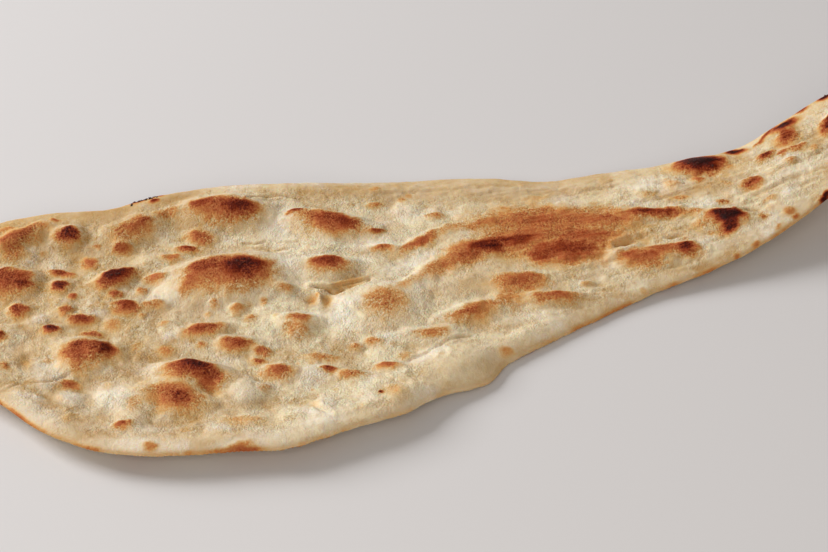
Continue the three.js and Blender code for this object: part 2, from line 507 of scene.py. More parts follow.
# Broad end, back: x, y, long, wide, turn, rise, toast and, where it isn't the usual one, skirt
BROAD_BACK = (
    Blister(-178, 74, 30, 9, 17, 2.6, 0.5),
    Blister(-182, 67, 11, 12, -10, 0.8, 0.4),
    Blister(-183, 80, 12, 5, -12, 0.8, 0.33),
    Blister(-156, 70, 12, 7.5, -13, 3.0, 0.8, 1.8),
    Blister(-169, 64, 5, 4, -11, 0.6, 0.2),
    Blister(-157, 64, 5, 3, -13, 0.5, 0.22),
    Blister(-145, 61, 4, 2.5, -15, 0.5, 0.42),
    Blister(-150, 52, 8, 8, -15, 1.2, 0.45),
    Blister(-134, 57, 9, 7, -15, 1.4, 0.5),
    Blister(-127, 66, 24, 12, 12, 3.0, 0.43, 1.6),
    Blister(-122, 68, 12, 4, 22, 0.4, 0.54),
    Blister(-110, 72, 12, 8, 5, 0.8, 0.34),
    Blister(-160, 81, 6, 2, -14, 0.4, 0.52),
    Blister(-119, 87, 16, 5, 6, 0.6, 0.9),
    Blister(-111, 87, 5, 4, 0, 1.0, 0.7),
    Blister(-114, 82, 6, 3, -12, 0.8, 0.72),
    Blister(-84, 67, 32, 14, -15, 4.6, 0.52, 1.7),
    Blister(-77, 65, 20, 9, -10, 0.4, 0.78),
    Blister(-93, 72, 14, 8, 0, 0.3, 0.62),
    Blister(-98, 55, 15, 9, -25, 2.0, 0.5),
    Blister(-105, 49, 10, 4, -15, 1.0, 0.66),
    Blister(-114, 46, 9, 4.5, -16, 0.9, 0.4),
)
# Broad end, middle
BROAD_MIDDLE = (
    Blister(-187, 48, 22, 17, -15, 4.0, 0.6, 1.5),
    Blister(-182, 44, 10, 7, -10, 0.3, 0.7),
    Blister(-191, 55, 14, 4, 10, 0.3, 0.72),
    Blister(-164, 49, 13, 4.5, -30, 1.0, 0.58),
    Blister(-166, 40, 8, 7, -10, 2.2, 0.8, 1.8),
    Blister(-161, 32, 4.5, 5, -16, 0.9, 0.55),
    Blister(-141, 38, 18, 9, 14, 3.6, 0.84, 1.6),
    Blister(-186, 29, 10, 8, -16, 2.4, 0.6, 1.5),
    Blister(-166, 23, 7, 5.5, -16, 1.0, 0.5),
    Blister(-160, 16, 12, 5.5, -20, 1.8, 0.66, 1.5),
    Blister(-175, 13, 8.5, 5, -22, 1.6, 0.88, 1.5),
    Blister(-158, 5, 11, 5.5, -24, 1.2, 0.55),
    Blister(-143, 28, 7, 5.5, -16, 1.0, 0.52),
    Blister(-140, 19, 12, 8, -16, 2.0, 0.64, 1.4),
    Blister(-124, 33, 10, 6, -16, 1.4, 0.42),
    Blister(-131, 27, 5, 5, -16, 0.8, 0.38),
    Blister(-128, 17, 11, 6.5, -16, 1.4, 0.33, 1.5),
    Blister(-134, 12, 5, 4, -16, 0.7, 0.3),
    Blister(-92, 25, 41, 22, -6, 7.4, 0.52, 1.72),
    Blister(-85.5, 24, 25, 17, -8, 0.4, 0.84),
    Blister(-102, 29, 20, 11, 6, 0.3, 0.6),
    Blister(-109, 23, 16, 8, 40, 0.3, 0.45),
    Blister(-93, 3, 7, 5.5, -16, 1.6, 0.32),
    Blister(-88, -3, 5, 4, -16, 0.9, 0.36),
    Blister(-102, 8, 6, 5, -16, 1.0, 0.28),
    Blister(-106, 4, 4, 3.5, -16, 0.6, 0.22),
    Blister(-125, 4, 5, 4, -16, 0.7, 0.28),
    Blister(-80, 5, 5, 5, -16, 0.8, 0.26),
    Blister(-69, 10, 10, 6, -16, 1.4, 0.28),
)
# Broad end, front
BROAD_FRONT = (
    Blister(-165, -7, 17, 18, -16, 4.4, 0.54, 1.6),
    Blister(-155, -8, 13, 10, -16, 2.0, 0.76, 1.6),
    Blister(-164, -3, 9, 6, -16, 0.3, 0.66),
    Blister(-189, -5, 5, 13, -16, -0.8, 0.1),
    Blister(-198, -7, 5, 8, -6, 0.4, 0.32),
    Blister(-173, -24, 9, 7, -16, 1.0, 0.46),
    Blister(-174, -34, 12, 12, -16, 1.8, 0.0),
    Blister(-160, -40, 14, 13, -16, 1.8, 0.0),
    Blister(-157, -28, 6, 5, -16, 0.6, 0.15),
    Blister(-149, -45, 8, 12, -16, 3.2, 0.24, 2.6),
    Blister(-156, -57, 9, 5, -14, 1.2, 0.5),
    Blister(-148, -73, 7, 5, -16, 0.7, 0.34),
    Blister(-110, -6, 18, 8, -8, 2.8, 0.58, 1.6),
    Blister(-98, -19, 15, 8, -16, 2.8, 0.56, 1.7),
    Blister(-131, -45, 27, 16, -38, 4.0, 0.48, 1.5),
    Blister(-130, -46, 15, 9, -38, 0.3, 0.62),
    Blister(-121, -32, 27, 12, -25, 5.4, 0.6, 1.65),
    Blister(-115, -38, 11, 13, -30, 0.0, 0.6),
    Blister(-119, -30, 18, 7, -26, 0.4, 0.88),
    Blister(-128, -14, 6, 4.5, -16, 0.8, 0.34),
    Blister(-113, -15, 5, 4, -16, 0.6, 0.32),
    Blister(-178, -47, 6, 5, 0, 0.8, 0.16),
    Blister(-88, -26, 8, 6, -16, 1.2, 0.46),
    Blister(-91, -31, 7, 3.5, -16, 0.8, 0.52),
    Blister(-85, -41, 14, 9, -16, 2.4, 0.48, 1.5),
    Blister(-106, -68, 18, 9, -18, 1.0, 0.22),
    Blister(-115, -85, 17, 7, 18, 0.8, 0.42),
    Blister(-103, -48, 18, 16, -16, 3.0, 0.06, 1.4),
    Blister(-93, -49, 6, 5, -16, 0.9, 0.22),
    Blister(-148, 9, 8, 9, -16, 0.3, 0.3),
)
# Middle
MIDDLE = (
    Blister(-38, 47, 31, 12, -27, 4.6, 0.58, 1.7),
    Blister(-32, 44, 15, 7, -27, 0.3, 0.64),
    Blister(-52, 58, 8, 3, -13, 0.7, 0.64),
    Blister(-19, 37, 9, 3, -16, 0.8, 0.62),
    Blister(-19, 26, 11, 5, -16, 1.5, 0.46, 1.5),
    Blister(-47, 20, 18, 8, -16, 4.2, 0.68, 2.1),
    Blister(-15, 56, 8, 4, -10, 0.7, 0.36),
    Blister(-12, 66, 6, 4, -6, 0.4, 0.24),
    Blister(-29, -12, 21, 20, -16, 4.2, 0.34, 2.1),
    Blister(-17, -3, 15, 6, 30, 0.0, 0.24),
    Blister(-9, 1, 16, 8, 22, 1.2, 0.22, 1.6),
    Blister(-68, -12, 11, 6, -22, 3.4, 0.48, 2.4),
    Blister(-71, -18, 13, 10, -16, 1.0, 0.28),
    Blister(-64, -36, 16, 5, -16, 1.0, 0.32),
    Blister(-63, -44, 8, 4, -16, 1.0, 0.66),
    Blister(-54, -50, 12, 6, -17, 1.8, 0.38),
    Blister(-40, -33, 8, 5, -16, 1.0, 0.32),
    Blister(-48, -34, 6, 5, -16, 1.2, 0.3),
    Blister(-38, -50, 10, 5, -18, 1.4, 0.48),
    Blister(-40, -68, 9, 8, -23, 0.9, 0.2),
    Blister(-58, -74, 4.5, 7, -25, -0.6, 0.14),
    Blister(-46, -67, 2, 2, 0, 0.2, 1.0),
    Blister(-14, -36, 16, 6, -8, 3.0, 0.36, 2.4),
    Blister(-29, -45, 7, 5, -18, 0.7, 0.24),
    Blister(10, 40, 10, 5, -15, 1.0, 0.33),
    Blister(-8, -58, 46, 24, 14, 1.2, 0.0, 1.5),
    Blister(24, -50, 34, 12, 18, 1.0, 0.0, 1.5),
    Blister(15, -53, 8, 6, -16, 0.4, 0.27),
    Blister(-50, -7, 18, 14, -30, 1.6, 0.0, 1.4),
    Blister(-60, 1, 6, 6, 0, 0.0, 0.06),
)
# The broad toasted field before the tail, made of streaks
TOASTED_FIELD = (
    Blister(62, 19, 82, 32, -17, 1.4, 0.41, 1.1),
    Blister(44, 14, 46, 24, -8, 0.0, 0.4),
    Blister(32, 28, 34, 9, -4, 0.5, 0.36, 1.4),
    Blister(-2, 25, 22, 6, 16, 1.2, 0.52, 1.8),
    Blister(13, 30, 24, 6, 14, 0.4, 0.26),
    Blister(52, 24, 36, 10, -12, 0.3, 0.42),
    Blister(47, 31, 13, 4, -8, 0.2, 0.46),
    Blister(33, 14, 52, 12, -2, 0.6, 0.54),
    Blister(27, 13, 24, 9, -4, 0.5, 0.76),
    Blister(42, 14, 26, 7, -8, 0.3, 0.66),
    Blister(5, 7, 28, 12, 22, 1.0, 0.38, 1.4),
    Blister(18, 10, 22, 12, 16, 0.4, 0.5),
    Blister(60, 1, 40, 17, -14, 0.8, 0.62),
    Blister(48, 1, 14, 9, -10, 0.2, 0.6),
    Blister(70, 7, 42, 13, -16, 0.4, 0.5),
    Blister(84, 14, 32, 10, -22, 0.6, 0.44),
    Blister(58, 40, 15, 6, -10, 0.5, 0.2),
    Blister(106, 11, 30, 6, -20, 1.6, 0.7, 1.6),
    Blister(34, -14, 26, 14, -14, 1.6, 0.46, 1.5),
    Blister(26, -22, 16, 14, 40, 0.3, 0.3),
    Blister(8, -27, 29, 10, 8, 2.0, 0.38, 1.6),
    Blister(6, -27, 14, 6, 8, 0.3, 0.46),
    Blister(46, -28, 25, 7, -12, 2.8, 0.48, 1.6),
    Blister(92, -14, 24, 12, -21, 2.2, 0.5, 1.5),
    Blister(103, -13, 22, 8, -21, 0.6, 0.48),
    Blister(112, -16, 12, 8, -22, 1.6, 0.62, 1.5),
    Blister(112, -16, 7, 5, -22, 0.2, 0.8),
    Blister(63, -22, 7, 4, -16, 0.8, 0.22),
)
# Tail
TAIL = (
    Blister(137, 37, 22, 11, -20, 4.6, 0.9, 1.6),
    Blister(138, 34, 22, 11, -22, 0.3, 0.98),
    Blister(133, 26, 7, 3.5, -27, 0.6, 0.46),
    Blister(121, 28, 9, 7, -25, 0.8, 0.22),
    Blister(109, 25, 7, 5.5, -24, 0.7, 0.2),
    Blister(121, 17, 8, 4, -25, 0.6, 0.32),
    Blister(124, 4, 7, 4, -26, 0.6, 0.3),
    Blister(125, -4, 11, 5, -26, 0.6, 0.25),
    Blister(136, -5, 18, 8, -27, 3.0, 0.98, 1.9),
    Blister(135, -10, 8, 10, -50, 0.3, 0.9),
    Blister(136, -6, 14, 7, -27, 0.3, 0.98),
    Blister(138, 5, 7, 3, -28, 0.4, 0.46),
    Blister(154, 10, 10, 6.5, -28, 1.2, 0.6, 1.4),
    Blister(166, 25, 9.5, 5.5, 10, 1.2, 0.72),
    Blister(156, 37, 10, 4.5, -26, 0.5, 0.96),
    Blister(181, 40, 13, 6, 14, 1.8, 0.95),
    Blister(172, 39, 16, 2.5, 32, 0.3, 0.7),
    Blister(179, 32, 9, 14, -18, 1.4, 0.62),
    Blister(192, 46, 6, 3, 10, 0.4, 0.62),
    Blister(204, 48, 7, 4, 0, 0.6, 0.92),
    Blister(201, 27, 15, 10, 20, 2.0, 0.92, 1.3),
    Blister(180, 21, 9, 4, 5, 0.8, 0.48),
    Blister(173, 21, 6, 3.5, 5, 0.5, 0.44),
    Blister(173, 15, 6.5, 3.5, -30, 0.6, 0.26),
    Blister(187, 17, 5, 4, 0, 0.4, 0.28),
    Blister(144, 16, 6, 4, -28, 0.4, 0.22),
    Blister(157, -3, 9, 3, 13, 0.5, 0.28),
    Blister(163, -13, 7, 4.5, -12, 0.6, 0.32),
    Blister(151, -11, 4.5, 4, -29, 0.4, 0.34),
    Blister(133, -27, 4, 2.5, 5, 0.2, 0.34),
    Blister(143, -23, 5, 2.5, 10, 0.2, 0.36),
    Blister(155, -19, 3, 2, 15, 0.2, 0.34),
    Blister(165, -16, 4, 2, 20, 0.2, 0.42),
    Blister(181, -12, 6, 4, 20, 0.4, 0.98),
    Blister(126, -31, 10, 3, 5, 0.2, 0.26),
    Blister(213, 29, 9, 6, -20, 1.0, 0.6),
    Blister(208, 9, 8, 4, 30, 0.5, 0.5),
    Blister(194, 5, 9, 5, 10, 0.8, 0.4),
    Blister(219, 20, 6, 5, 50, 0.5, 0.75),
)
# The part of the broad end that overhangs furthest
BROAD_TIP = (
    Blister(-207, 43, 12, 9, -20, 1.8, 0.6, 1.4),
    Blister(-203, 61, 14, 7, 30, 1.6, 0.68),
    Blister(-211, 21, 9, 11, 0, 1.6, 0.5, 1.5),
    Blister(-200, 17, 10, 6, -16, 1.2, 0.8),
    Blister(-199, 73, 12, 4, 35, 0.8, 0.7),
    Blister(-212, 5, 8, 6, -30, 0.9, 0.4),
    Blister(-220, 32, 5, 9, 0, 0.5, 0.55),
)
BLISTERS = (
    *BROAD_BACK, *BROAD_MIDDLE, *BROAD_FRONT, *MIDDLE, *TOASTED_FIELD, *TAIL, *BROAD_TIP,
)  # fmt: skip


@dataclass(frozen=True)
class Patch:
    """An oval part of the pale skin that differs from the skin round it.

    Attributes:
        x: X of its middle.
        y: Y of its middle.
        long: Its length.
        wide: Its width.
        turn: Direction of its length, in degrees from +X.
        strength: How much it differs, usually 0 to 1; above 1 the full effect reaches further out.
    """

    x: float
    y: float
    long: float
    wide: float
    turn: float
    strength: float

    FALL = 5.2  # how abruptly its edge ends
    FLAT_MIDDLE = 2.2  # above 2, the middle is flatter than a bell's

    def at(self, x: Values, y: Values) -> Values:
        """Gives the patch's strength at points.

        Args:
            x: X of the points.
            y: Y of the points.

        Returns:
            The strength in the middle, fading to 0 outside.
        """
        along, across = turned(x - self.x, y - self.y, self.turn)
        reach = np.hypot(along / self.long, across / self.wide)
        return self.strength * np.exp(-self.FALL * reach**self.FLAT_MIDDLE)


# Skin that baked translucent and golden, and painted shade as gold on the shaded right flanks of domes and
# in hollows
GOLDEN_AND_SHADED = (
    Patch(-183, 76, 34, 20, 17, 0.8), Patch(-142, 78, 32, 20, 0, 0.8), Patch(-162, -64, 30, 9, -30, 0.5),
    Patch(-76, 17, 26, 14, -20, 0.5), Patch(-106, -38, 14, 22, -16, 0.6),
    Patch(-112, -55, 24, 10, -10, 0.45), Patch(-23, 37, 22, 12, -20, 0.45),
    Patch(-69, 40, 36, 7, -5, 0.6), Patch(-54, -77, 30, 8, 12, 0.4), Patch(-33, -64, 26, 14, 20, 0.4),
    Patch(8, 57, 70, 16, -6, 0.45), Patch(71, 42, 60, 10, -16, 0.5), Patch(14, -6, 60, 16, 4, 0.7),
    Patch(8, -60, 30, 18, 14, 0.6), Patch(-12, -71, 70, 10, 14, 0.7), Patch(133, 20, 40, 13, -16, 0.7),
    Patch(101, -25, 50, 9, -12, 0.5), Patch(27, -54, 46, 9, 20, 0.6), Patch(-26, 67, 80, 9, -8, 0.5),
    Patch(-189, -4, 12, 18, -16, 0.6), Patch(-185, -60, 30, 10, -50, 0.5),
    Patch(-120, -80, 50, 8, 0, 0.35), Patch(150, 30, 30, 8, -10, 0.4), Patch(190, 0, 40, 9, 20, 0.5),
    Patch(205, 40, 24, 12, 0, 0.5), Patch(-200, 30, 18, 30, 0, 0.5),
)  # fmt: skip
# Dry, whitish skin, and painted highlights on the lit left flanks of some domes and along the front rim
FLOURED_AND_LIT = (
    Patch(-122, 22, 28, 24, 20, 0.6), Patch(-190, 10, 20, 16, 0, 0.3), Patch(-60, -10, 20, 12, 0, 0.5),
    Patch(-86, 10, 34, 12, -16, 0.5), Patch(208, 16, 26, 12, 20, 0.7), Patch(-60, 53, 18, 24, -30, 1.0),
    Patch(-66, 23, 20, 18, -16, 0.9), Patch(-46, -7, 18, 15, -16, 0.85), Patch(-55.5, 2, 2.5, 8, 4, 1.0),
    Patch(-22, 30, 36, 10, -16, 0.8), Patch(-8, 13, 28, 9, 12, 1.0), Patch(20, 25, 12, 4, 0, 0.7),
    Patch(34, -2, 30, 6, 8, 0.3), Patch(-174, -34, 12, 10, -16, 0.9), Patch(-150, -47, 10, 14, 0, 0.8),
    Patch(-103, -50, 14, 12, -16, 0.8), Patch(-158, -36, 22, 22, -16, 0.8),
    Patch(-134, -26, 20, 10, -16, 0.8), Patch(-180, -10, 26, 14, -20, 0.6), Patch(-8, 0, 32, 14, 10, 0.7),
    Patch(113, 31, 36, 8, -16, 0.7), Patch(124, -20, 34, 8, 0, 0.35), Patch(-20, -48, 26, 8, 14, 0.8),
    Patch(34, -36, 40, 8, -10, 0.5), Patch(-104, 8, 30, 14, 0, 0.5), Patch(80, -8.5, 30, 7, 6, 1.0),
    Patch(84, 2.5, 16, 4, -8, 0.9), Patch(75, -12, 22, 8, -10, 0.6), Patch(60, 48, 50, 6, -12, 0.3),
    Patch(170, 8, 40, 8, 5, 0.5), Patch(-150, -60, 40, 10, -20, 0.5), Patch(150, -14, 40, 12, 14, 0.4),
    Patch(-49, -13, 14, 18, 0, 1.0), Patch(-190, -40, 34, 14, -50, 0.6),
    Patch(-150, -72, 44, 12, -22, 0.7), Patch(-108, -82, 44, 10, 0, 0.7), Patch(-74, -79, 30, 8, 5, 0.7),
    Patch(-118, 20, 16, 20, 0, 0.8), Patch(-30, -76, 50, 6, 16, 0.3),
)  # fmt: skip
# Tan, smooth patches: the floors of tears and thin skin over dips, and painted shade in dips, pits and below
# domes
SUNKEN_AND_SHADED = (
    Patch(12, -11, 32, 15, 8, 0.85), Patch(28, -3, 24, 10, 10, 0.8), Patch(132, 18, 34, 14, 0, 0.85),
    Patch(-141, 82, 24, 12, 0, 0.6), Patch(-116, -56, 26, 9, -10, 0.6), Patch(46, 47, 80, 16, -12, 0.7),
    Patch(-172, 10, 18, 24, 0, 0.4), Patch(8, -62, 24, 10, 14, 0.3), Patch(-178, 33, 16, 12, 0, 0.4),
    Patch(-53.5, -2, 6, 17, -12, 1.4), Patch(-41, 7.8, 26, 7.5, 6, 1.4), Patch(-59, 1, 8, 11, 0, 1.4),
    Patch(-183, -33, 8, 16, -30, 0.6), Patch(-147, -28, 14, 8, -16, 0.5),
    Patch(-93, -58, 16, 8, -16, 0.6), Patch(-128, -62, 24, 7, -10, 0.6),
    Patch(87.5, -2.8, 8, 3.6, 10, 1.35), Patch(110, -6, 9, 1.8, -14, 1.35),
    Patch(-189, -4, 9, 16, 12, 1.3), Patch(-140, -59, 26, 8, -14, 0.8), Patch(-167, -37, 8, 15, -10, 0.7),
    Patch(-178, -46, 9, 7, 0, 0.6), Patch(-158, -29, 8, 7, 0, 0.6), Patch(-186, 18, 9, 8, 0, 0.6),
)  # fmt: skip
# The plump pinched bulge on the front edge, smooth and evenly golden
PILLOW = Patch(-4, -58, 60, 26, 14, 0.6)


@dataclass(frozen=True)
class Crease:
    """A line pressed into the top, where the dough folded, tore or was pinched.

    Attributes:
        path: Points that the line passes through.
        depth: How deep it is; below 0 it is a ridge.
        width: Half width of the groove.
        lip: Height of the ridge beside it, on the left of the path.
        gold: How golden its floor is, partly painted warm shade in the groove.
    """

    path: tuple[tuple[float, float], ...]
    depth: float
    width: float
    lip: float = 0.0
    gold: float = 0.0

    MARGIN = 5.0  # reach on every side, in widths
    TAPER = 3.0  # length over which the ends fade, in widths
    LIP_OFFSET = 2.2  # how far beside the path the lip runs, in widths
    LIP_WIDTH = 1.2

    def near(self, points: Values) -> Values:
        """Tells which points the crease may reach."""
        path = np.array(self.path, float)
        margin = self.MARGIN * self.width
        return ((points > path.min(axis=0) - margin) & (points < path.max(axis=0) + margin)).all(axis=1)

    def press(self, points: Values) -> tuple[Values, Values]:
        """Works out the groove and its lip.

        Args:
            points: Points near the crease, of shape (n, 2).

        Returns:
            Height change, and how golden the groove's floor is.
        """
        path = np.array(self.path, float)
        gap = distance_to(path, points)
        ends = np.minimum(*(np.linalg.norm(points - path[k], axis=1) for k in (0, -1)))
        fade = ease(ends, 0.0, self.TAPER * self.width) * 0.7 + 0.3
        groove = np.exp(-((gap / self.width) ** 2)) * fade
        step, out = path[-1] - path[0], points - path[0]
        left = np.sign(step[0] * out[:, 1] - step[1] * out[:, 0]) > 0
        beside = (gap - self.LIP_OFFSET * self.width) / (self.LIP_WIDTH * self.width)
        ridge = np.exp(-(beside**2)) * fade * left
        return self.lip * ridge - self.depth * groove, self.gold * groove


CREASES = (
    Crease(((-72, 70), (-64, 71), (-56, 70), (-47, 65)), 1.0, 0.6, 0.5, 0.8),
    Crease(((-51, 3), (-46, 4.2), (-40, 4.9)), 2.0, 1.9, 0.0, 1.0),
    Crease(((-43, 4.6), (-38, 5.2), (-33, 5.4)), 1.4, 1.4, 0.0, 1.0),
    Crease(((-32, 4.2), (-40, 3.0), (-49, 1.2)), 1.3, 0.6, 0.7, 0.6),
    Crease(((-51, 5.8), (-44, 7.2), (-37, 7.4), (-32, 7.2)), 1.1, 0.6, 0.8, 0.8),
    Crease(((-33.5, 4.5), (-31.5, 5.8), (-31, 8.2)), 1.6, 0.7, 0.0, 1.0),
    Crease(((-57, 9.5), (-51, 6.8), (-47.5, 3)), 2.8, 0.9, 0.5, 1.0),
    Crease(((-51, 4), (-52, -2), (-56, -9)), 2.0, 2.2, 0.0, 1.0),
    Crease(((-59.5, 4.5), (-59, 1), (-59, -3)), 3.6, 2.6, 0.4, 1.0),
    Crease(((-56.5, 5.5), (-55.5, 1.5), (-56, -2.5)), -2.0, 0.8, 0.0, 0.0),
    Crease(((-64, -3), (-61, -5.5), (-57, -6)), -1.0, 0.9, 0.0, 0.6),
    Crease(((-46, -8), (-45, -13), (-42, -19)), 0.6, 0.9, 0.4, 0.4),
    Crease(((-80, 46), (-74, 45), (-69, 45)), 0.5, 0.5, 0.5, 1.0),
    Crease(((-63, 43), (-58, 42), (-54, 41)), 0.6, 0.5, 0.4, 1.0),
    Crease(((-66, 38), (-60, 37)), 0.6, 0.5, 0.4, 1.0),
    Crease(((-77, 42), (-71, 40), (-68, 38)), 0.4, 0.5, 0.4, 1.0),
    Crease(((55, 47), (64, 46), (76, 42)), 0.7, 0.6, 0.3, 0.9),
    Crease(((-42, 72), (-22, 70), (0, 67)), 0.4, 0.8, 0.3, 0.5),
    Crease(((-12, 63), (12, 60), (40, 55)), 0.4, 0.8, 0.3, 0.5),
    Crease(((30, 59), (48, 54), (62, 49)), 0.4, 0.7, 0.3, 0.6),
    Crease(((80, 40), (100, 36), (122, 30)), 0.4, 0.8, 0.3, 0.4),
    Crease(((-203, -24), (-194, -20), (-181, -21), (-171, -17)), 0.5, 0.6, 0.3, 0.5),
    Crease(((-195, -29), (-187, -35), (-179, -43)), 0.5, 1.3, 0.3, 0.7),
    Crease(((-188, -27), (-180, -34), (-172, -44)), 0.6, 1.5, 0.3, 0.7),
    Crease(((-81, -61), (-75, -66), (-71, -75)), 0.9, 1.2, 0.6, 0.3),
    Crease(((-30, -50), (-19, -46), (-8, -42), (3, -41)), 0.5, 0.7, 0.3, 0.9),
    Crease(((-74, -77), (-64, -79), (-46, -77)), 1.0, 1.6, 0.5, 0.1),
    Crease(((110, 20), (122, 20.5), (132, 19.5)), 0.5, 0.7, 0.3, 0.8),
    Crease(((84, -3.4), (87.5, -3.2), (91, -1.6)), 3.0, 1.4, 1.0, 1.0),
    Crease(((74, -10), (82, -7.5), (92, -4.5)), -1.0, 1.3, 0.0, 0.0),
    Crease(((106, -5), (110, -6), (114, -7)), 2.0, 0.9, 0.5, 1.0),
    Crease(((88, -18), (100, -24), (115, -27)), 1.0, 3.4, 0.0, 0.6),
    Crease(((147, 9), (168, 12), (191, 13)), 0.4, 1.1, 0.4, 0.7),
    Crease(((150, 2), (168, 4), (188, 3)), 0.4, 1.1, 0.3, 0.7),
    Crease(((-145, -60), (-136, -66), (-120, -68)), 0.6, 2.4, 0.0, 0.7),
    Crease(((-92, 84), (-88, 86), (-84, 84)), 0.6, 0.6, 0.5, 1.0),
)


# ---------------------------------------------------------------------------------------------
# The form
# ---------------------------------------------------------------------------------------------


@dataclass(frozen=True)
class Roll:
    """A plump roll that follows one long edge.

    Attributes:
        rise: Its height.
        crest: How far in from the edge its crest runs.
        width: Half its width.
        start: X where it begins.
        end: X where it has ended.
    """

    rise: float
    crest: float
    width: float
    start: float
    end: float

    def height(self, x: Values, inset: Values) -> Values:
        """Gives the roll's height.

        Args:
            x: X of the points.
            inset: Their distances from the edge that the roll follows.

        Returns:
            The height over the rest of the bread.
        """
        fade = ease(x, self.start, self.start + 40) * (1 - ease(x, self.end - 40, self.end))
        return self.rise * np.exp(-(((inset - self.crest) / self.width) ** 2)) * fade


@dataclass
class Places:
    """Points of one face of the bread with their distances from its edges.

    Attributes:
        xy: The points, of shape (n, 2).
        front: Distance of each from the front edge.
        back: Distance of each from the back edge.
    """

    xy: Values
    front: Values
    back: Values

    @property
    def x(self) -> Values:
        """X of the points."""
        return self.xy[:, 0]

    @property
    def y(self) -> Values:
        """Y of the points."""
        return self.xy[:, 1]

    @property
    def inset(self) -> Values:
        """Distance from the nearest edge."""
        return np.minimum(self.front, self.back)

    def noise(self, seed: Seed, long: float, wide: float, octaves: int) -> Values:
        """Gives layered noise at the points.

        Args:
            seed: The pattern.
            long: Length of its bumps along X.
            wide: Width of its bumps along Y.
            octaves: How many layers there are.

        Returns:
            Values from about -1 to 1.
        """
        return Noise(seed).layered(self.x / long, self.y / wide, octaves)

    def shifted(self, amount: float) -> tuple[Values, Values]:
        """Shifts the points a little at random, so that ovals drawn through them are uneven.

        Args:
            amount: Greatest shift.

        Returns:
            X and Y of the shifted points.
        """
        shift_x = self.noise(Seed.SHIFT_X, 9.0, 9.0, 3)
        shift_y = self.noise(Seed.SHIFT_Y, 9.0, 9.0, 3)
        return self.x + amount * shift_x, self.y + amount * shift_y


@dataclass
class Baked:
    """What the oven left at each point, with painted shade and painted highlights.

    Attributes:
        toast: 0 for pale dough to 1 for char.
        gold: How golden the skin is: thin dough that baked translucent, and painted warm shade in low
            places, grooves and on the shaded flanks of domes.
        flour: How whitish the skin is: dry skin, and painted highlights on lit flanks.
        hollow: How tan the skin is, 0 to 1: the floors of tears and thin skin, and painted shade in low
            places and grooves.
        char: How many char crumbs cling to the point, above 1 on the burnt edge.
        grain: How coarse the skin is, 1 where it is usual.
    """

    toast: Values
    gold: Values
    flour: Values
    hollow: Values
    char: Values
    grain: Values

    def of(self, layer: Layer) -> Values:
        """The values of one layer."""
        return getattr(self, layer.value)


def pimples(at: Places) -> Values:
    """Small bubbles in scattered groups, 0 to 1. Many of them baked golden."""
    groups = ease(at.noise(Seed.PIMPLE_GROUPS, 20.0, 16.0, 2), -0.3, 0.3)
    return groups * Spots(Seed.PIMPLES, 6.0, 1.6, 4.2, 0.55).at(*at.shifted(1.4))


@dataclass(frozen=True)
class SkinRelief:
    """The top's own relief, as heights of its parts in millimetres.

    Attributes:
        grain: Direction in which the dough was stretched, in degrees from +X.
        waves: Height of the soft unevenness.
        folds: Height of the wrinkles of the broad end.
        streaks: Height of the long wrinkles of the stretched part.
        lumps: Height of the large soft bubbles.
        bubbles: Height of the bubbles that are a few millimetres wide.
        beads: Height of the smallest bubbles.
        pimples: Height of the grouped bubbles.
        pits: Depth of the pores.
        roughness: Height of the finest unevenness.
    """

    grain: float = -4.0
    waves: float = 1.3
    folds: float = 0.3
    streaks: float = 0.6
    lumps: float = 1.2
    bubbles: float = 0.3
    beads: float = 0.28
    pimples: float = 0.35
    pits: float = 0.25
    roughness: float = 0.16

    def height(self, at: Places) -> Values:
        """Adds the parts up.

        Args:
            at: Points of the top.

        Returns:
            Height change, about -1.5 to 2.5.
        """
        along, across = turned(at.x, at.y, self.grain)
        stretched = ease(at.x, -30.0, 70.0)
        tail = ease(at.x, 80.0, 120.0)
        uneven = at.shifted(3.0)
        folds = ridged(at.noise(Seed.FOLDS, 14.0, 11.0, 3))
        streaks = ridged(Noise(Seed.STREAKS).layered(along / 26.0, across / 5.0, 3))
        lumps = Spots(Seed.LUMPS, 19.0, 6.5, 14.0, 0.85).at(*uneven)
        bubbles = Spots(Seed.BUBBLES, 8.0, 2.4, 5.4, 0.6).at(*uneven)
        beads = Spots(Seed.BEADS, 3.2, 0.9, 1.9, 0.4).at(at.x, at.y)
        pits = Spots(Seed.PITS, 2.9, 0.6, 1.3, 0.45).at(at.x, at.y)
        return (
            self.waves * at.noise(Seed.WAVES, 30.0, 22.0, 2)
            + self.folds * folds * (1 - 0.6 * stretched)
            + (self.streaks + 0.25 * tail) * streaks * stretched
            + self.lumps * lumps * (1 - 0.45 * stretched)
            + self.bubbles * bubbles * (1 - 0.3 * stretched)
            + self.beads * (1 + 0.6 * tail) * beads
            + self.pimples * pimples(at)
            - self.pits * (1 + 0.6 * tail) * pits
            + self.roughness * at.noise(Seed.ROUGHNESS, 2.2, 2.2, 2)
        )


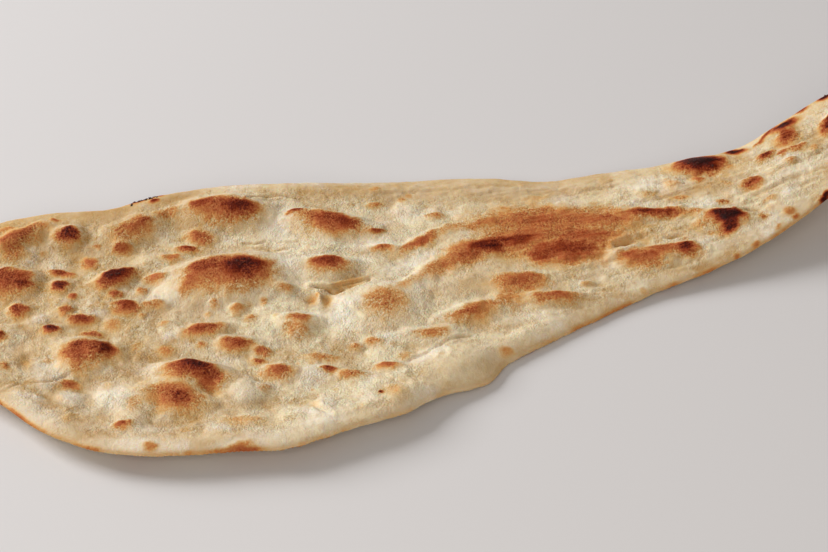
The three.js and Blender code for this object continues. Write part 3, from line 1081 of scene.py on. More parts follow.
@dataclass
class TopBaking:
    """Works out what the oven left on the top, and the shade and highlights painted onto it.

    Where an effect changes along the bread, ease() takes X: the broad end lies below about -60,
    the stretched middle runs from -30 to 80, and the tail starts at about 90.

    Attributes:
        at: Points of the top.
        grain: Direction in which the dough was stretched, in degrees from +X.
        crowns: Toast of the listed blisters.
        halos: Gold round the toasted crowns, leaning forward as painted shade, and the creases' gold, partly
            painted warm shade.
        texture: The skin's own relief.
        grooves: Height change of the creases.
        domes: Height of the blisters.
    """

    at: Places
    grain: float
    crowns: Values
    halos: Values
    texture: Values
    grooves: Values
    domes: Values

    FRECKLE_TOAST = 0.26
    SPECK_TOAST = 0.16
    GROOVE_SHADE_TOAST = 0.2
    SUNKEN_TOAST = 0.18
    PIMPLE_GOLD = 0.75
    CLOUD_GOLD = 0.66
    LOW_SKIN_SHADE_GOLD = 0.66
    PILLOW_GOLD = 0.6
    DOME_FLOUR = 0.4
    # how much tan the tan patches give, partly painted shade
    SUNKEN_TAN = 0.8
    BURNT_EDGE_X = -119.0  # middle of the scorched stretch of the back edge
    BURNT_EDGE_HALF = 7.0

    def __post_init__(self) -> None:
        """Works out the zones that several layers share."""
        at = self.at
        soft, crisp = at.shifted(3.0), at.shifted(1.0)
        # Painted shade: tan-brown in deep grooves with gilded floors.
        self.groove_shade = ease(-self.grooves, 0.2, 1.6) * self.halos
        # Tan patches: floors of tears and thin skin, and painted shade in dips and below domes.
        self.sunken_and_shaded = strongest([patch.at(*crisp) for patch in SUNKEN_AND_SHADED])
        # Whitish patches, some of them painted highlights on lit flanks and on the front rim.
        self.floured_and_lit = strongest([patch.at(*soft) for patch in FLOURED_AND_LIT]) * (1.0 - self.groove_shade)
        # Gold from the halos, the creases and the golden patches, which all hold some painted shade.
        golden = strongest([self.halos, *(patch.at(*soft) for patch in GOLDEN_AND_SHADED)])
        self.golden = np.clip(strongest([golden, self.PIMPLE_GOLD * pimples(at)]), 0.0, 1.0)
        self.pillow = PILLOW.at(at.x, at.y)
        self.back_band = ease(at.x, -70.0, -30.0) * (1.0 - ease(at.x, 90.0, 130.0))
        self.edge_clouds = ease(at.noise(Seed.BROWNED_EDGE, 16.0, 16.0, 3), -0.35, 0.5)
        self.toast = self.toasting()

    def toasting(self) -> Values:
        """Toasts the crowns, which the stretch has streaked, the freckles and the edge, and browns deep
        grooves and tear floors, partly as painted shade.

        Returns:
            Toast, 0 for pale dough and about 1 for char.
        """
        at = self.at
        along, across = turned(at.x, at.y, self.grain)
        fibres = Noise(Seed.FIBRES).layered(along / 16.0, across / 1.7, 3)
        toast = self.crowns * (1.0 + 0.3 * ease(at.x, -20.0, 30.0) * fibres)
        freckles = Spots(Seed.FRECKLES, 10.0, 1.2, 3.4, 0.5).at(*at.shifted(1.2)) ** 0.9
        specks = Spots(Seed.SPECKS, 4.5, 0.6, 1.5, 0.35).at(at.x, at.y)
        clouds = ease(at.noise(Seed.FRECKLE_CLOUDS, 30.0, 24.0, 2), -0.25, 0.45)
        freckled = [self.FRECKLE_TOAST * freckles * clouds, self.SPECK_TOAST * specks * clouds]
        toast = strongest([toast, *freckled])
        browned = 0.5 - 0.35 * ease(at.x, -80.0, -50.0) + 0.2 * ease(at.x, 20.0, 60.0)
        browned = browned * np.exp(-((at.inset / 1.1) ** 2)) * (0.3 + 0.7 * self.edge_clouds)
        toast = strongest([toast, browned])
        toast = strongest([toast, self.GROOVE_SHADE_TOAST * self.groove_shade])
        # Brown in the strongest tan patches, the tears and pits, partly painted shade.
        return strongest([toast, self.SUNKEN_TOAST * ease(self.sunken_and_shaded, 0.85, 1.25)])

    def gilding(self) -> Values:
        """Gilds the skin near the edge, in clouds and where it is thin, and paints warm shade as gold into
        low places, grooves and the front flanks of domes.

        Returns:
            Gold from 0 to 1.
        """
        at = self.at
        near_edge = (0.9 - 0.4 * ease(at.x, 60.0, 110.0)) * np.exp(-at.inset / 7.0)
        near_edge = near_edge * (0.45 + 0.55 * self.edge_clouds)
        clouds = self.CLOUD_GOLD * ease(at.noise(Seed.GOLDEN_CLOUDS, 17.0, 14.0, 3), -0.2, 0.6)
        # Painted warm shade: gold in the low places of the skin's relief.
        low_skin_shade = self.LOW_SKIN_SHADE_GOLD * ease(0.55 - self.texture, 0.0, 1.2)
        zones = 0.45 * ease(-at.x, 60.0, 150.0)
        zones += 0.5 * self.back_band * np.exp(-(((at.back - 7.0) / 8.0) ** 2))
        zones += 0.1 * ease(at.x, 95.0, 125.0)
        pale = 1.0 - 0.9 * self.golden
        for share in (near_edge, clouds, low_skin_shade, zones):
            pale = pale * (1.0 - share)
        middle = ease(at.x, -110.0, -80.0) * (1.0 - ease(at.x, 10.0, 40.0))
        middle = middle * (1.0 - ease(at.y, 45.0, 65.0))
        gold = (1.0 - pale) * ((1.0 - 0.8 * self.floured_and_lit) * (1.0 - 0.2 * middle))
        return np.clip(np.maximum(gold, self.PILLOW_GOLD * self.pillow), 0.0, 1.0)

    def flouring(self) -> Values:
        """Dries the high spots and whitens the whitish patches, some of them painted highlights, but not
        toasted skin or the tan patches.

        Returns:
            Flour from 0 to 1.
        """
        flour = ease(self.at.noise(Seed.FLOUR, 16.0, 13.0, 4), -0.15, 0.45)
        flour = flour * (0.3 + 0.7 * ease(self.texture, 0.2, 1.4))
        flour = np.maximum(flour, self.DOME_FLOUR * ease(self.domes, 0.6, 2.4))
        flour = np.maximum(flour * (1.0 - 0.85 * self.golden), self.floured_and_lit)
        flour = flour * (1.0 - ease(self.toast, 0.06, 0.3))
        flour *= 1.0 - 0.8 * ease(self.sunken_and_shaded, 0.4, 1.0)
        return flour * (1.0 - 0.6 * self.pillow)

    def tanning_and_shading(self) -> Values:
        """Paints shade as tan into low places, grooves and, more, both ends of the bread, and adds the tan
        patches, which are partly painted shade.

        Returns:
            Tan and painted shade, from 0 to 1.
        """
        at = self.at
        # Painted shade: tan in the low places of the skin's relief and in the grooves.
        dips = ease(0.3 - self.texture, 0.0, 1.2) + ease(-self.grooves, 0.2, 2.0)
        tan = 0.6 * np.clip(dips, 0.0, 1.0)
        # Painted shade: more tan in the low places towards both ends, most on the tail.
        ends = 0.42 * ease(at.x, 80.0, 115.0) + 0.22 * ease(-at.x, 60.0, 100.0)
        tan += ends * ease(1.1 - self.texture, 0.0, 1.4)
        # Less painted shade on the domes.
        tan *= 1.0 - 0.7 * ease(self.domes, 0.5, 2.5)
        return np.clip(np.maximum(tan, self.SUNKEN_TAN * self.sunken_and_shaded), 0.0, 1.0)

    def charring(self) -> Values:
        """Chars the blackest crowns a little and one stretch of the back edge a lot.

        Returns:
            How many crumbs cling to each point.
        """
        off_x = (self.at.x - self.BURNT_EDGE_X) / self.BURNT_EDGE_HALF
        burnt_edge = 5.0 * np.exp(-(off_x**4) - (self.at.back / 1.8) ** 2)
        return 0.25 * ease(self.toast, 0.66, 0.9) + burnt_edge

    def coarsening(self) -> Values:
        """Makes the skin coarser at the broad end and tail, and smoother at the edges and in dips.

        Returns:
            Grain, 1 where it is usual.
        """
        at = self.at
        coarse = 1.35 - 0.35 * ease(at.x, -60.0, 20.0)
        coarse -= 0.5 * self.back_band * np.exp(-(((at.back - 8.0) / 10.0) ** 2))
        coarse = coarse - self.pillow - 0.4 * self.sunken_and_shaded - 0.4 * self.floured_and_lit
        patchy = 0.5 + 0.6 * ease(at.noise(Seed.GRAIN_CLOUDS, 9.0, 9.0, 2), -0.4, 0.4)
        patchy *= 0.45 + 0.55 * ease(at.inset, 3.0, 13.0)
        patchy *= 1.0 + 0.3 * ease(at.x, 70.0, 110.0)
        return np.clip(coarse * patchy, 0.3, 1.6)

    def layers(self) -> Baked:
        """Gives all the layers."""
        toast = np.clip(self.toast, 0.0, 1.0)
        return Baked(
            toast, self.gilding(), self.flouring(), self.tanning_and_shading(), self.charring(), self.coarsening()
        )


@dataclass
class Form:
    """The bread's shape as heights over the plane, and how it baked.

    Attributes:
        outline: The bread seen from above.
        lip: Thickness close to the edge.
        crumb: Usual thickness between the blisters.
        lip_grows_over: Distance over which the lip fills out.
        edge_radius: Rounding of the edge itself.
        dish_rise: How far the rim of the broad end stands up.
        dish_width: Width of that sloping rim.
        dish_fades: X where the dish starts to flatten out, and X where it is flat.
        curl_start: X where the tail leaves the surface.
        curl_rise: Height of the underside at the tail's tip.
        least: Least thickness where nothing is rounded off.
        broad_roll: Roll along the front edge of the broad end.
        front_roll: Roll along the rest of the front edge.
        back_roll: Roll along the back edge.
        skin: The top's own relief.
    """

    outline: Outline
    lip: float = 2.6
    crumb: float = 6.8
    lip_grows_over: float = 13.0
    edge_radius: float = 1.6
    dish_rise: float = 7.5
    dish_width: float = 35.0
    dish_fades: tuple[float, float] = (-60.0, 15.0)
    curl_start: float = 60.0
    curl_rise: float = 36.0
    least: float = 1.2
    broad_roll: Roll = Roll(0.8, 7.0, 5.5, -170.0, -20.0)
    front_roll: Roll = Roll(0.6, 9.0, 7.0, -70.0, 190.0)
    back_roll: Roll = Roll(0.8, 8.0, 6.0, -70.0, 140.0)
    skin: SkinRelief = SkinRelief()

    CHORDS = 520  # in each long edge, where distances from it are measured
    SKIN_LEVEL = 0.7  # usual height of the skin's own relief, which the body already has

    def places(self, xy: Values) -> Places:
        """Measures points against both edges.

        Args:
            xy: Points inside the outline.

        Returns:
            The points with their distances.
        """
        front, back = self.outline.long_edges(self.CHORDS)
        return Places(xy, distance_to(front, xy), distance_to(back, xy))

    def underside(self, at: Places) -> Values:
        """Height of the lower face without its own texture.

        Args:
            at: The points.

        Returns:
            Heights, 0 where the bread rests.
        """
        dished = 1.0 - ease(at.x, *self.dish_fades)
        dish = self.dish_rise * (1.0 - ease(at.inset, 0.0, self.dish_width)) * dished
        reach = np.maximum(at.x - self.curl_start, 0.0)
        return dish + self.curl_rise * (reach / (self.outline.half_length - self.curl_start)) ** 2

    def rounding(self, inset: Values) -> Values:
        """How far the edge's rounding has opened, 0 at the edge and 1 past its radius."""
        t = np.clip(inset / self.edge_radius, 0.0, 1.0)
        return np.sqrt(t * (2.0 - t))

    def blistering(self, at: Places) -> tuple[Values, Values, Values]:
        """Raises the listed blisters and toasts their crowns.

        Args:
            at: Points of the top.

        Returns:
            Height over the body, toast from 0 to 1, and gold from 0 to 1.
        """
        domed_x, domed_y = at.shifted(1.3)
        baked_x, baked_y = at.shifted(2.2)
        ragged = 1.0 + 0.26 * at.noise(Seed.SCORCH_EDGES, 4.5, 4.5, 3)
        height, gold = np.zeros(len(at.x)), np.zeros(len(at.x))
        toasts = []
        for one in BLISTERS:
            near = one.near(at.x, at.y)
            x, y = baked_x[near], baked_y[near]
            height[near] += one.dome(domed_x[near], domed_y[near])
            toast = np.zeros(len(at.x))
            toast[near] = one.scorch(x, y, ragged[near])
            toasts.append(toast)
            gold[near] = np.maximum(gold[near], one.halo(x, y))
        return height, strongest(toasts), gold

    def creasing(self, at: Places) -> tuple[Values, Values]:
        """Presses the creases in.

        Args:
            at: Points of the top.

        Returns:
            Height change, and how golden the grooves' floors are, partly painted warm shade.
        """
        height, gold = np.zeros(len(at.x)), np.zeros(len(at.x))
        wandering = np.stack(at.shifted(0.9), axis=1)
        for one in CREASES:
            near = one.near(at.xy)
            pressed, gilded = one.press(wandering[near])
            height[near] += pressed
            gold[near] = np.maximum(gold[near], gilded)
        return height, gold

    def top(self, at: Places) -> tuple[Values, Baked]:
        """Shapes and bakes the upper face.

        Args:
            at: Points of the top.

        Returns:
            Heights, and what the oven left, with painted shade and painted highlights.
        """
        body = self.lip + (self.crumb - self.lip) * (1.0 - np.exp(-at.inset / self.lip_grows_over))
        rolls = self.front_roll.height(at.x, at.front) + self.back_roll.height(at.x, at.back)
        rolls += self.broad_roll.height(at.x, at.front)
        inner = ease(at.inset, 0.6, self.lip_grows_over)
        domes, toast, halo = self.blistering(at)
        grooves, groove_gold_and_shade = self.creasing(at)
        texture = self.skin.height(at)
        smooth = 1.0 - 0.6 * ease(domes, 0.5, 3.0)
        relief = domes * (0.35 + 0.65 * inner) + grooves * inner
        relief += (texture - self.SKIN_LEVEL) * smooth * (0.25 + 0.75 * inner)
        opening = self.rounding(at.inset)
        thickness = np.maximum(body + rolls + relief, self.least) * opening
        height = self.underside(at) + (self.lip / 2) * (1.0 - opening) + thickness
        halos = np.maximum(halo, groove_gold_and_shade)
        baking = TopBaking(at, self.skin.grain, toast, halos, texture, grooves, domes)
        return height, baking.layers()

    def bottom(self, at: Places) -> tuple[Values, Baked]:
        """Shapes and bakes the lower face, which lay on the hot wall of the oven.

        Args:
            at: Points of the underside.

        Returns:
            Heights, and what the oven left.
        """
        opening = self.rounding(at.inset)
        puckers = Spots(Seed.PUCKERS, 9.0, 2.5, 6.0, 0.6).at(at.x, at.y)
        dents = 0.5 * puckers + 0.25 * np.abs(at.noise(Seed.DENTS, 8.0, 8.0, 3))
        height = self.underside(at) + (self.lip / 2) * (1.0 - opening) + dents * opening
        leopard = Spots(Seed.LEOPARD, 11.0, 2.0, 6.5, 0.75).at(*at.shifted(2.4)) ** 0.8
        specks = Spots(Seed.UNDER_SPECKS, 4.5, 0.6, 1.9, 0.6).at(*at.shifted(0.8))
        clouds = ease(at.noise(Seed.UNDER_CLOUDS, 34.0, 26.0, 2), -0.3, 0.4)
        toast = strongest([0.72 * leopard * (0.35 + 0.65 * clouds), 0.45 * specks, 0.2 * clouds])
        toast = np.clip(toast * (1.0 - 0.8 * ease(puckers, 0.2, 0.8)), 0.0, 1.0)
        gold = 0.35 + 0.4 * clouds
        flour = ease(at.noise(Seed.UNDER_FLOUR, 12.0, 12.0, 3), 0.0, 0.5)
        no_char = np.zeros(len(at.x))
        even_grain = np.full(len(at.x), 0.8)
        # Tan in the dents of the puckers.
        return height, Baked(toast, gold, flour, ease(puckers, 0.2, 1.0), no_char, even_grain)


# ---------------------------------------------------------------------------------------------
# The lattice and the mesh
# ---------------------------------------------------------------------------------------------


@dataclass(frozen=True)
class Lattice:
    """Points that fill the outline: rings that follow the edge, and an even lattice inside them.

    Attributes:
        spacing: Gap between neighbours of the inner lattice.
        rings: Distances of the rings from the edge.
    """

    spacing: float
    rings: tuple[float, ...]

    MERGE_WITHIN = 1e-6

    def fill(self, rim: Values) -> tuple[Values, Values]:
        """Fills and triangulates the outline.

        Args:
            rim: The outline's points, which come first in the result.

        Returns:
            All points, and the triangles that face up, as numbers of points.
        """
        before, after = np.roll(rim, 2, axis=0), np.roll(rim, -2, axis=0)
        tangent = after - before
        tangent /= np.linalg.norm(tangent, axis=1)[:, None]
        inward = np.stack([-tangent[:, 1], tangent[:, 0]], axis=1)
        skip = max(1, round(self.spacing / np.linalg.norm(rim[1] - rim[0])))
        rings = [(rim + ring * inward)[::skip] for ring in self.rings]
        low, high = rim.min(axis=0), rim.max(axis=0)
        row_gap = self.spacing * math.sqrt(3) / 2
        rows = np.arange(low[1], high[1], row_gap)
        columns = np.arange(low[0], high[0], self.spacing)
        x, y = np.meshgrid(columns, rows)
        x = x + (np.arange(len(rows)) % 2)[:, None] * self.spacing / 2
        inner = np.stack([x.ravel(), y.ravel()], axis=1)
        closed = np.concatenate([rim, rim[:1]])
        inner = inner[self.inside(closed, inner)]
        margin = self.rings[-1] + 0.6 * self.spacing
        coarse = closed[::2] if len(closed) % 2 else closed
        inner = inner[distance_to(coarse, inner) > margin]
        points = np.concatenate([rim, *rings, inner])
        count = len(rim)
        edges = [(i, (i + 1) % count) for i in range(count)]
        made = delaunay_2d_cdt([Vector(p) for p in points], edges, [], 0, self.MERGE_WITHIN, True)
        original = np.array([found[0] for found in made[3]])
        triangles = original[np.array(made[2])]
        triangles = triangles[self.inside(closed, points[triangles].mean(axis=1))]
        a, b, c = (points[triangles[:, k]] for k in range(3))
        area = (b[:, 0] - a[:, 0]) * (c[:, 1] - a[:, 1]) - (b[:, 1] - a[:, 1]) * (c[:, 0] - a[:, 0])
        triangles[area < 0] = triangles[area < 0][:, ::-1]
        return points, triangles

    @staticmethod
    def inside(closed: Values, points: Values) -> Values:
        """Tells which points lie inside a closed line, by counting crossings.

        Args:
            closed: The line, whose last point repeats its first.
            points: Points to test.

        Returns:
            True for each point inside.
        """
        result = np.zeros(len(points), bool)
        for (x0, y0), (x1, y1) in zip(closed[:-1], closed[1:]):
            if y0 != y1:
                crosses = (y0 > points[:, 1]) != (y1 > points[:, 1])
                result ^= crosses & (points[:, 0] < (x1 - x0) * (points[:, 1] - y0) / (y1 - y0) + x0)
        return result


@dataclass
class NaanBread:
    """The whole bread: one closed skin, and the char crumbs that lie on it.

    Attributes:
        form: Its shape.
        top_lattice: Points of the upper face.
        bottom_lattice: Points of the lower face.
        rim_spacing: Gap between neighbours along the outline.
    """

    form: Form
    top_lattice: Lattice = Lattice(0.92, (0.15, 0.5, 1.05, 1.8))
    bottom_lattice: Lattice = Lattice(2.1, (0.5, 1.7))
    rim_spacing: float = 0.95

    def build(self) -> bpy.types.Object:
        """Makes the bread's skin.

        Returns:
            The mesh object, which carries its baking as point attributes.
        """
        rim = self.form.outline.loop(self.rim_spacing)
        top_xy, top_faces = self.top_lattice.fill(rim)
        bottom_xy, bottom_faces = self.bottom_lattice.fill(rim)
        top_z, top_baked = self.form.top(self.form.places(top_xy))
        bottom_z, bottom_baked = self.form.bottom(self.form.places(bottom_xy))
        count = len(rim)
        renumbered = np.where(bottom_faces < count, bottom_faces, bottom_faces - count + len(top_xy))
        top_places = np.column_stack([top_xy, top_z])
        bottom_places = np.column_stack([bottom_xy, bottom_z])
        places = np.concatenate([top_places, bottom_places[count:]])
        faces = np.concatenate([top_faces, renumbered[:, ::-1]])
        mesh = bpy.data.meshes.new("naan_bread")
        mesh.from_pydata(places * MM, [], faces.tolist())
        mesh.validate()
        mesh.shade_smooth()
        for layer in Layer:
            values = np.concatenate([top_baked.of(layer), bottom_baked.of(layer)[count:]])
            attribute = mesh.attributes.new(layer.value, "FLOAT", "POINT")
            attribute.data.foreach_set("value", values.astype(np.float32))
        piece = bpy.data.objects.new("naan_bread", mesh)
        bpy.context.scene.collection.objects.link(piece)
        LOG.info("naan_bread: %d triangles", len(faces))
        return piece


# ---------------------------------------------------------------------------------------------
# Finishes
# ---------------------------------------------------------------------------------------------


def add_node(
    tree: bpy.types.NodeTree,
    kind: str,
    settings: dict[str, Any] | None = None,
    inputs: dict[str | int, Any] | None = None,
) -> bpy.types.Node:
    """Adds one node with its settings, values and links.

    Args:
        tree: Tree to add to.
        kind: The node's type name.
        settings: Properties of the node.
        inputs: For each input socket, a value or the output socket to link it to.

    Returns:
        The node.
    """
    node = tree.nodes.new(kind)
    for name, value in (settings or {}).items():
        setattr(node, name, value)
    for name, value in (inputs or {}).items():
        if isinstance(value, bpy.types.NodeSocket):
            tree.links.new(value, node.inputs[name])
        else:
            node.inputs[name].default_value = value
    return node


class Recipe:
    """A new material with shorthands for the nodes that its colours are mixed from."""

    PER_METRE = 1000  # millimetres

    def __init__(self, name: str) -> None:
        """Starts an empty material.

        Args:
            name: The material's name.
        """
        self.material = bpy.data.materials.new(name)
        self.material.use_nodes = True
        self.material.node_tree.nodes.clear()
        self.add = partial(add_node, self.material.node_tree)
        self.place = self.add("ShaderNodeTexCoord").outputs["Object"]

    def attribute(self, layer: Layer) -> bpy.types.NodeSocket:
        """The bread's own values of one layer."""
        return self.add("ShaderNodeAttribute", {"attribute_name": layer.value}).outputs["Fac"]

    def noise(self, size_mm: float, detail: float, rough: float) -> bpy.types.NodeSocket:
        """Noise whose bumps are about size_mm across."""
        scale = self.PER_METRE / size_mm
        settings = {"Vector": self.place, "Scale": scale, "Detail": detail, "Roughness": rough}
        return self.add("ShaderNodeTexNoise", None, settings).outputs["Fac"]

    def cells(self, size_mm: float) -> bpy.types.NodeSocket:
        """Distance from the middles of scattered cells that are about size_mm across."""
        settings = {"Vector": self.place, "Scale": self.PER_METRE / size_mm, "Randomness": 1.0}
        return self.add("ShaderNodeTexVoronoi", {"feature": "F1"}, settings).outputs["Distance"]

    def spread(self, value: Any, start: float, end: float, low: float, high: float) -> Any:
        """Maps start..end of a value to low..high, clamped.

        Args:
            value: Socket to map.
            start: Value that gives low.
            end: Value that gives high.
            low: First result.
            high: Last result.

        Returns:
            The mapped socket.
        """
        limits = {"Value": value, "From Min": start, "From Max": end, "To Min": low, "To Max": high}
        return self.add("ShaderNodeMapRange", {"clamp": True}, limits).outputs["Result"]

    def total(self, *values: Any) -> Any:
        """Adds values up."""
        result = values[0]
        for value in values[1:]:
            result = self.add("ShaderNodeMath", {"operation": "ADD"}, {0: result, 1: value}).outputs[0]
        return result

    def times(self, one: Any, two: Any) -> bpy.types.NodeSocket:
        """Multiplies two values."""
        return self.add("ShaderNodeMath", {"operation": "MULTIPLY"}, {0: one, 1: two}).outputs[0]

    def mix(self, share: Any, one: Any, two: Any) -> bpy.types.NodeSocket:
        """Mixes two colours, whose sockets are the node's inputs 6 and 7."""
        values = {"Factor": share, 6: one, 7: two}
        return self.add("ShaderNodeMix", {"data_type": "RGBA"}, values).outputs[2]

    def finish(self, looks: dict[str, Any]) -> bpy.types.Material:
        """Ends the material in one shader.

        Args:
            looks: Values or sockets for the shader's inputs.

        Returns:
            The material.
        """
        shader = self.add("ShaderNodeBsdfPrincipled", None, looks).outputs["BSDF"]
        output = self.add("ShaderNodeOutputMaterial", None, {"Surface": shader})
        output.is_active_output = True
        return self.material


@dataclass(frozen=True)
class BakedCrust:
    """Wheat dough baked fast against a hot clay wall.

    The skin is dry and matt, cream where it is thick and pale gold where it is thin, and light
    sinks a few millimetres into it. Crowns that touched the heat go from orange-brown to black.
    Part of the gold and the tan is painted shade in low places, grooves and on the front flanks
    of domes, and part of the whitish skin is painted highlight on lit flanks.
    """

    cream: str = "efe1be"
    ochre: str = "c09048"
    flour: str = "f7f1e4"
    # Tan of tear floors and thin skin, also used as painted shade in low places, grooves and on the ends.
    hollow: str = "b28a55"
    ramp: tuple[tuple[float, str], ...] = (
        (0.0, "e4cb98"), (0.14, "daab68"), (0.28, "cb8c4f"), (0.42, "b66639"), (0.56, "97421c"),
        (0.7, "702109"), (0.84, "481005"), (1.0, "260704"),
    )  # fmt: skip
    fine_mm: float = 2.4
    finest_mm: float = 0.8
    pebble_mm: float = 1.3
    floured_roughness: float = 0.72
    toasted_roughness: float = 0.5
    bump_share: float = 0.76
    bump_depth: float = 0.0011
    light_depth: float = 0.0025

    def material(self) -> bpy.types.Material:
        """Builds the crust's material.

        Returns:
            The material, which reads the bread's own attributes and Object coordinates.
        """
        recipe = Recipe("baked_crust")
        toast, grain = recipe.attribute(Layer.TOAST), recipe.attribute(Layer.GRAIN)
        fine = recipe.noise(self.fine_mm, 3.0, 0.6)
        finest = recipe.noise(self.finest_mm, 2.0, 0.6)
        pebbles = recipe.cells(self.pebble_mm)
        base = self.pale_skin(recipe, fine, finest, grain)

        speckle = recipe.total(
            recipe.spread(pebbles, 0.1, 0.7, 0.06, -0.07),
            recipe.spread(finest, 0.3, 0.7, -0.09, 0.09),
            recipe.spread(fine, 0.3, 0.7, -0.05, 0.05),
        )
        speckle = recipe.times(recipe.times(speckle, grain), recipe.spread(toast, 0.04, 0.3, 0.0, 1.0))
        heat = recipe.total(toast, speckle)
        scorch = self.scorch(recipe, heat)
        colour = recipe.mix(recipe.spread(heat, 0.02, 0.26, 0.0, 1.0), base, scorch)

        pores = recipe.times(pebbles, -0.22)
        relief = recipe.total(recipe.times(finest, 1.1), recipe.times(fine, 0.5), pores)
        strength = recipe.times(grain, self.bump_share)
        bump = {"Strength": strength, "Distance": self.bump_depth, "Height": relief}
        rough = recipe.spread(toast, 0.2, 0.8, self.floured_roughness, self.toasted_roughness)
        looks = {
            "Base Color": colour,
            "Roughness": rough,
            "IOR": 1.45,
            "Specular IOR Level": 0.12,
            "Subsurface Weight": 0.4,
            "Subsurface Radius": (1.0, 0.55, 0.25),
            "Subsurface Scale": self.light_depth,
            "Normal": recipe.add("ShaderNodeBump", None, bump).outputs["Normal"],
        }
        return recipe.finish(looks)

    def pale_skin(self, recipe: Recipe, fine: Any, finest: Any, grain: Any) -> bpy.types.NodeSocket:
        """Mixes the colour of skin that isn't toasted.

        Args:
            recipe: The material.
            fine: Noise of a few millimetres.
            finest: Noise below a millimetre.
            grain: How coarse the skin is.

        Returns:
            The colour.
        """
        mottle = recipe.total(
            recipe.spread(fine, 0.3, 0.7, -0.26, 0.26), recipe.spread(finest, 0.3, 0.7, -0.14, 0.14)
        )
        # The gold layer, which holds painted warm shade as well as golden skin.
        golden = recipe.times(recipe.attribute(Layer.GOLD), 0.85)
        gold = recipe.total(golden, recipe.times(mottle, grain))
        base = recipe.mix(recipe.spread(gold, 0.0, 1.0, 0.0, 1.0), linear(self.cream), linear(self.ochre))
        dust = recipe.spread(finest, 0.35, 0.62, 0.25, 0.85)
        # Whitish skin: dry skin, and painted highlights on lit flanks.
        dry = recipe.times(recipe.attribute(Layer.FLOUR), dust)
        base = recipe.mix(dry, base, linear(self.flour))
        # The tan layer: tear floors and thin skin, and painted shade.
        return recipe.mix(recipe.times(recipe.attribute(Layer.HOLLOW), 0.7), base, linear(self.hollow))

    def scorch(self, recipe: Recipe, heat: Any) -> bpy.types.NodeSocket:
        """Turns heat into the colours from pale gold to char.

        Args:
            recipe: The material.
            heat: Toast with its speckles.

        Returns:
            The colour.
        """
        ramp = recipe.add("ShaderNodeValToRGB", None, {"Fac": heat})
        stops = ramp.color_ramp.elements
        while len(stops) < len(self.ramp):
            stops.new(0.5)
        for stop, (position, colour) in zip(stops, self.ramp):
            stop.position, stop.color = position, linear(colour)
        return ramp.outputs["Color"]


@dataclass(frozen=True)
class MattLacquer:
    """A table top sprayed with white matt lacquer: plain, pale and nearly free of reflections."""

    colour: str = "dcdada"
    roughness: float = 0.7

    def material(self) -> bpy.types.Material:
        """Builds the floor's material."""
        material = bpy.data.materials.new("matt_lacquer")
        material.use_nodes = True
        shader = material.node_tree.nodes["Principled BSDF"]
        shader.inputs["Base Color"].default_value = linear(self.colour)
        shader.inputs["Roughness"].default_value = self.roughness
        return material


@dataclass(frozen=True)
class CharredDough:
    """Dough burnt through to carbon: nearly black, brown where it is thin, brittle and dull."""

    black: str = "1c0b06"
    brown: str = "5a2412"

    def material(self) -> bpy.types.Material:
        """Builds the crumbs' material.

        Returns:
            The material, mottled in Object coordinates.
        """
        recipe = Recipe("charred_dough")
        share = recipe.spread(recipe.noise(1.4, 2.0, 0.5), 0.35, 0.65, 0.0, 1.0)
        colour = recipe.mix(share, linear(self.black), linear(self.brown))
        looks = {"Base Color": colour, "Roughness": 0.75, "IOR": 1.5, "Specular IOR Level": 0.3}
        return recipe.finish(looks)


# ---------------------------------------------------------------------------------------------
# Loose crumbs
# ---------------------------------------------------------------------------------------------


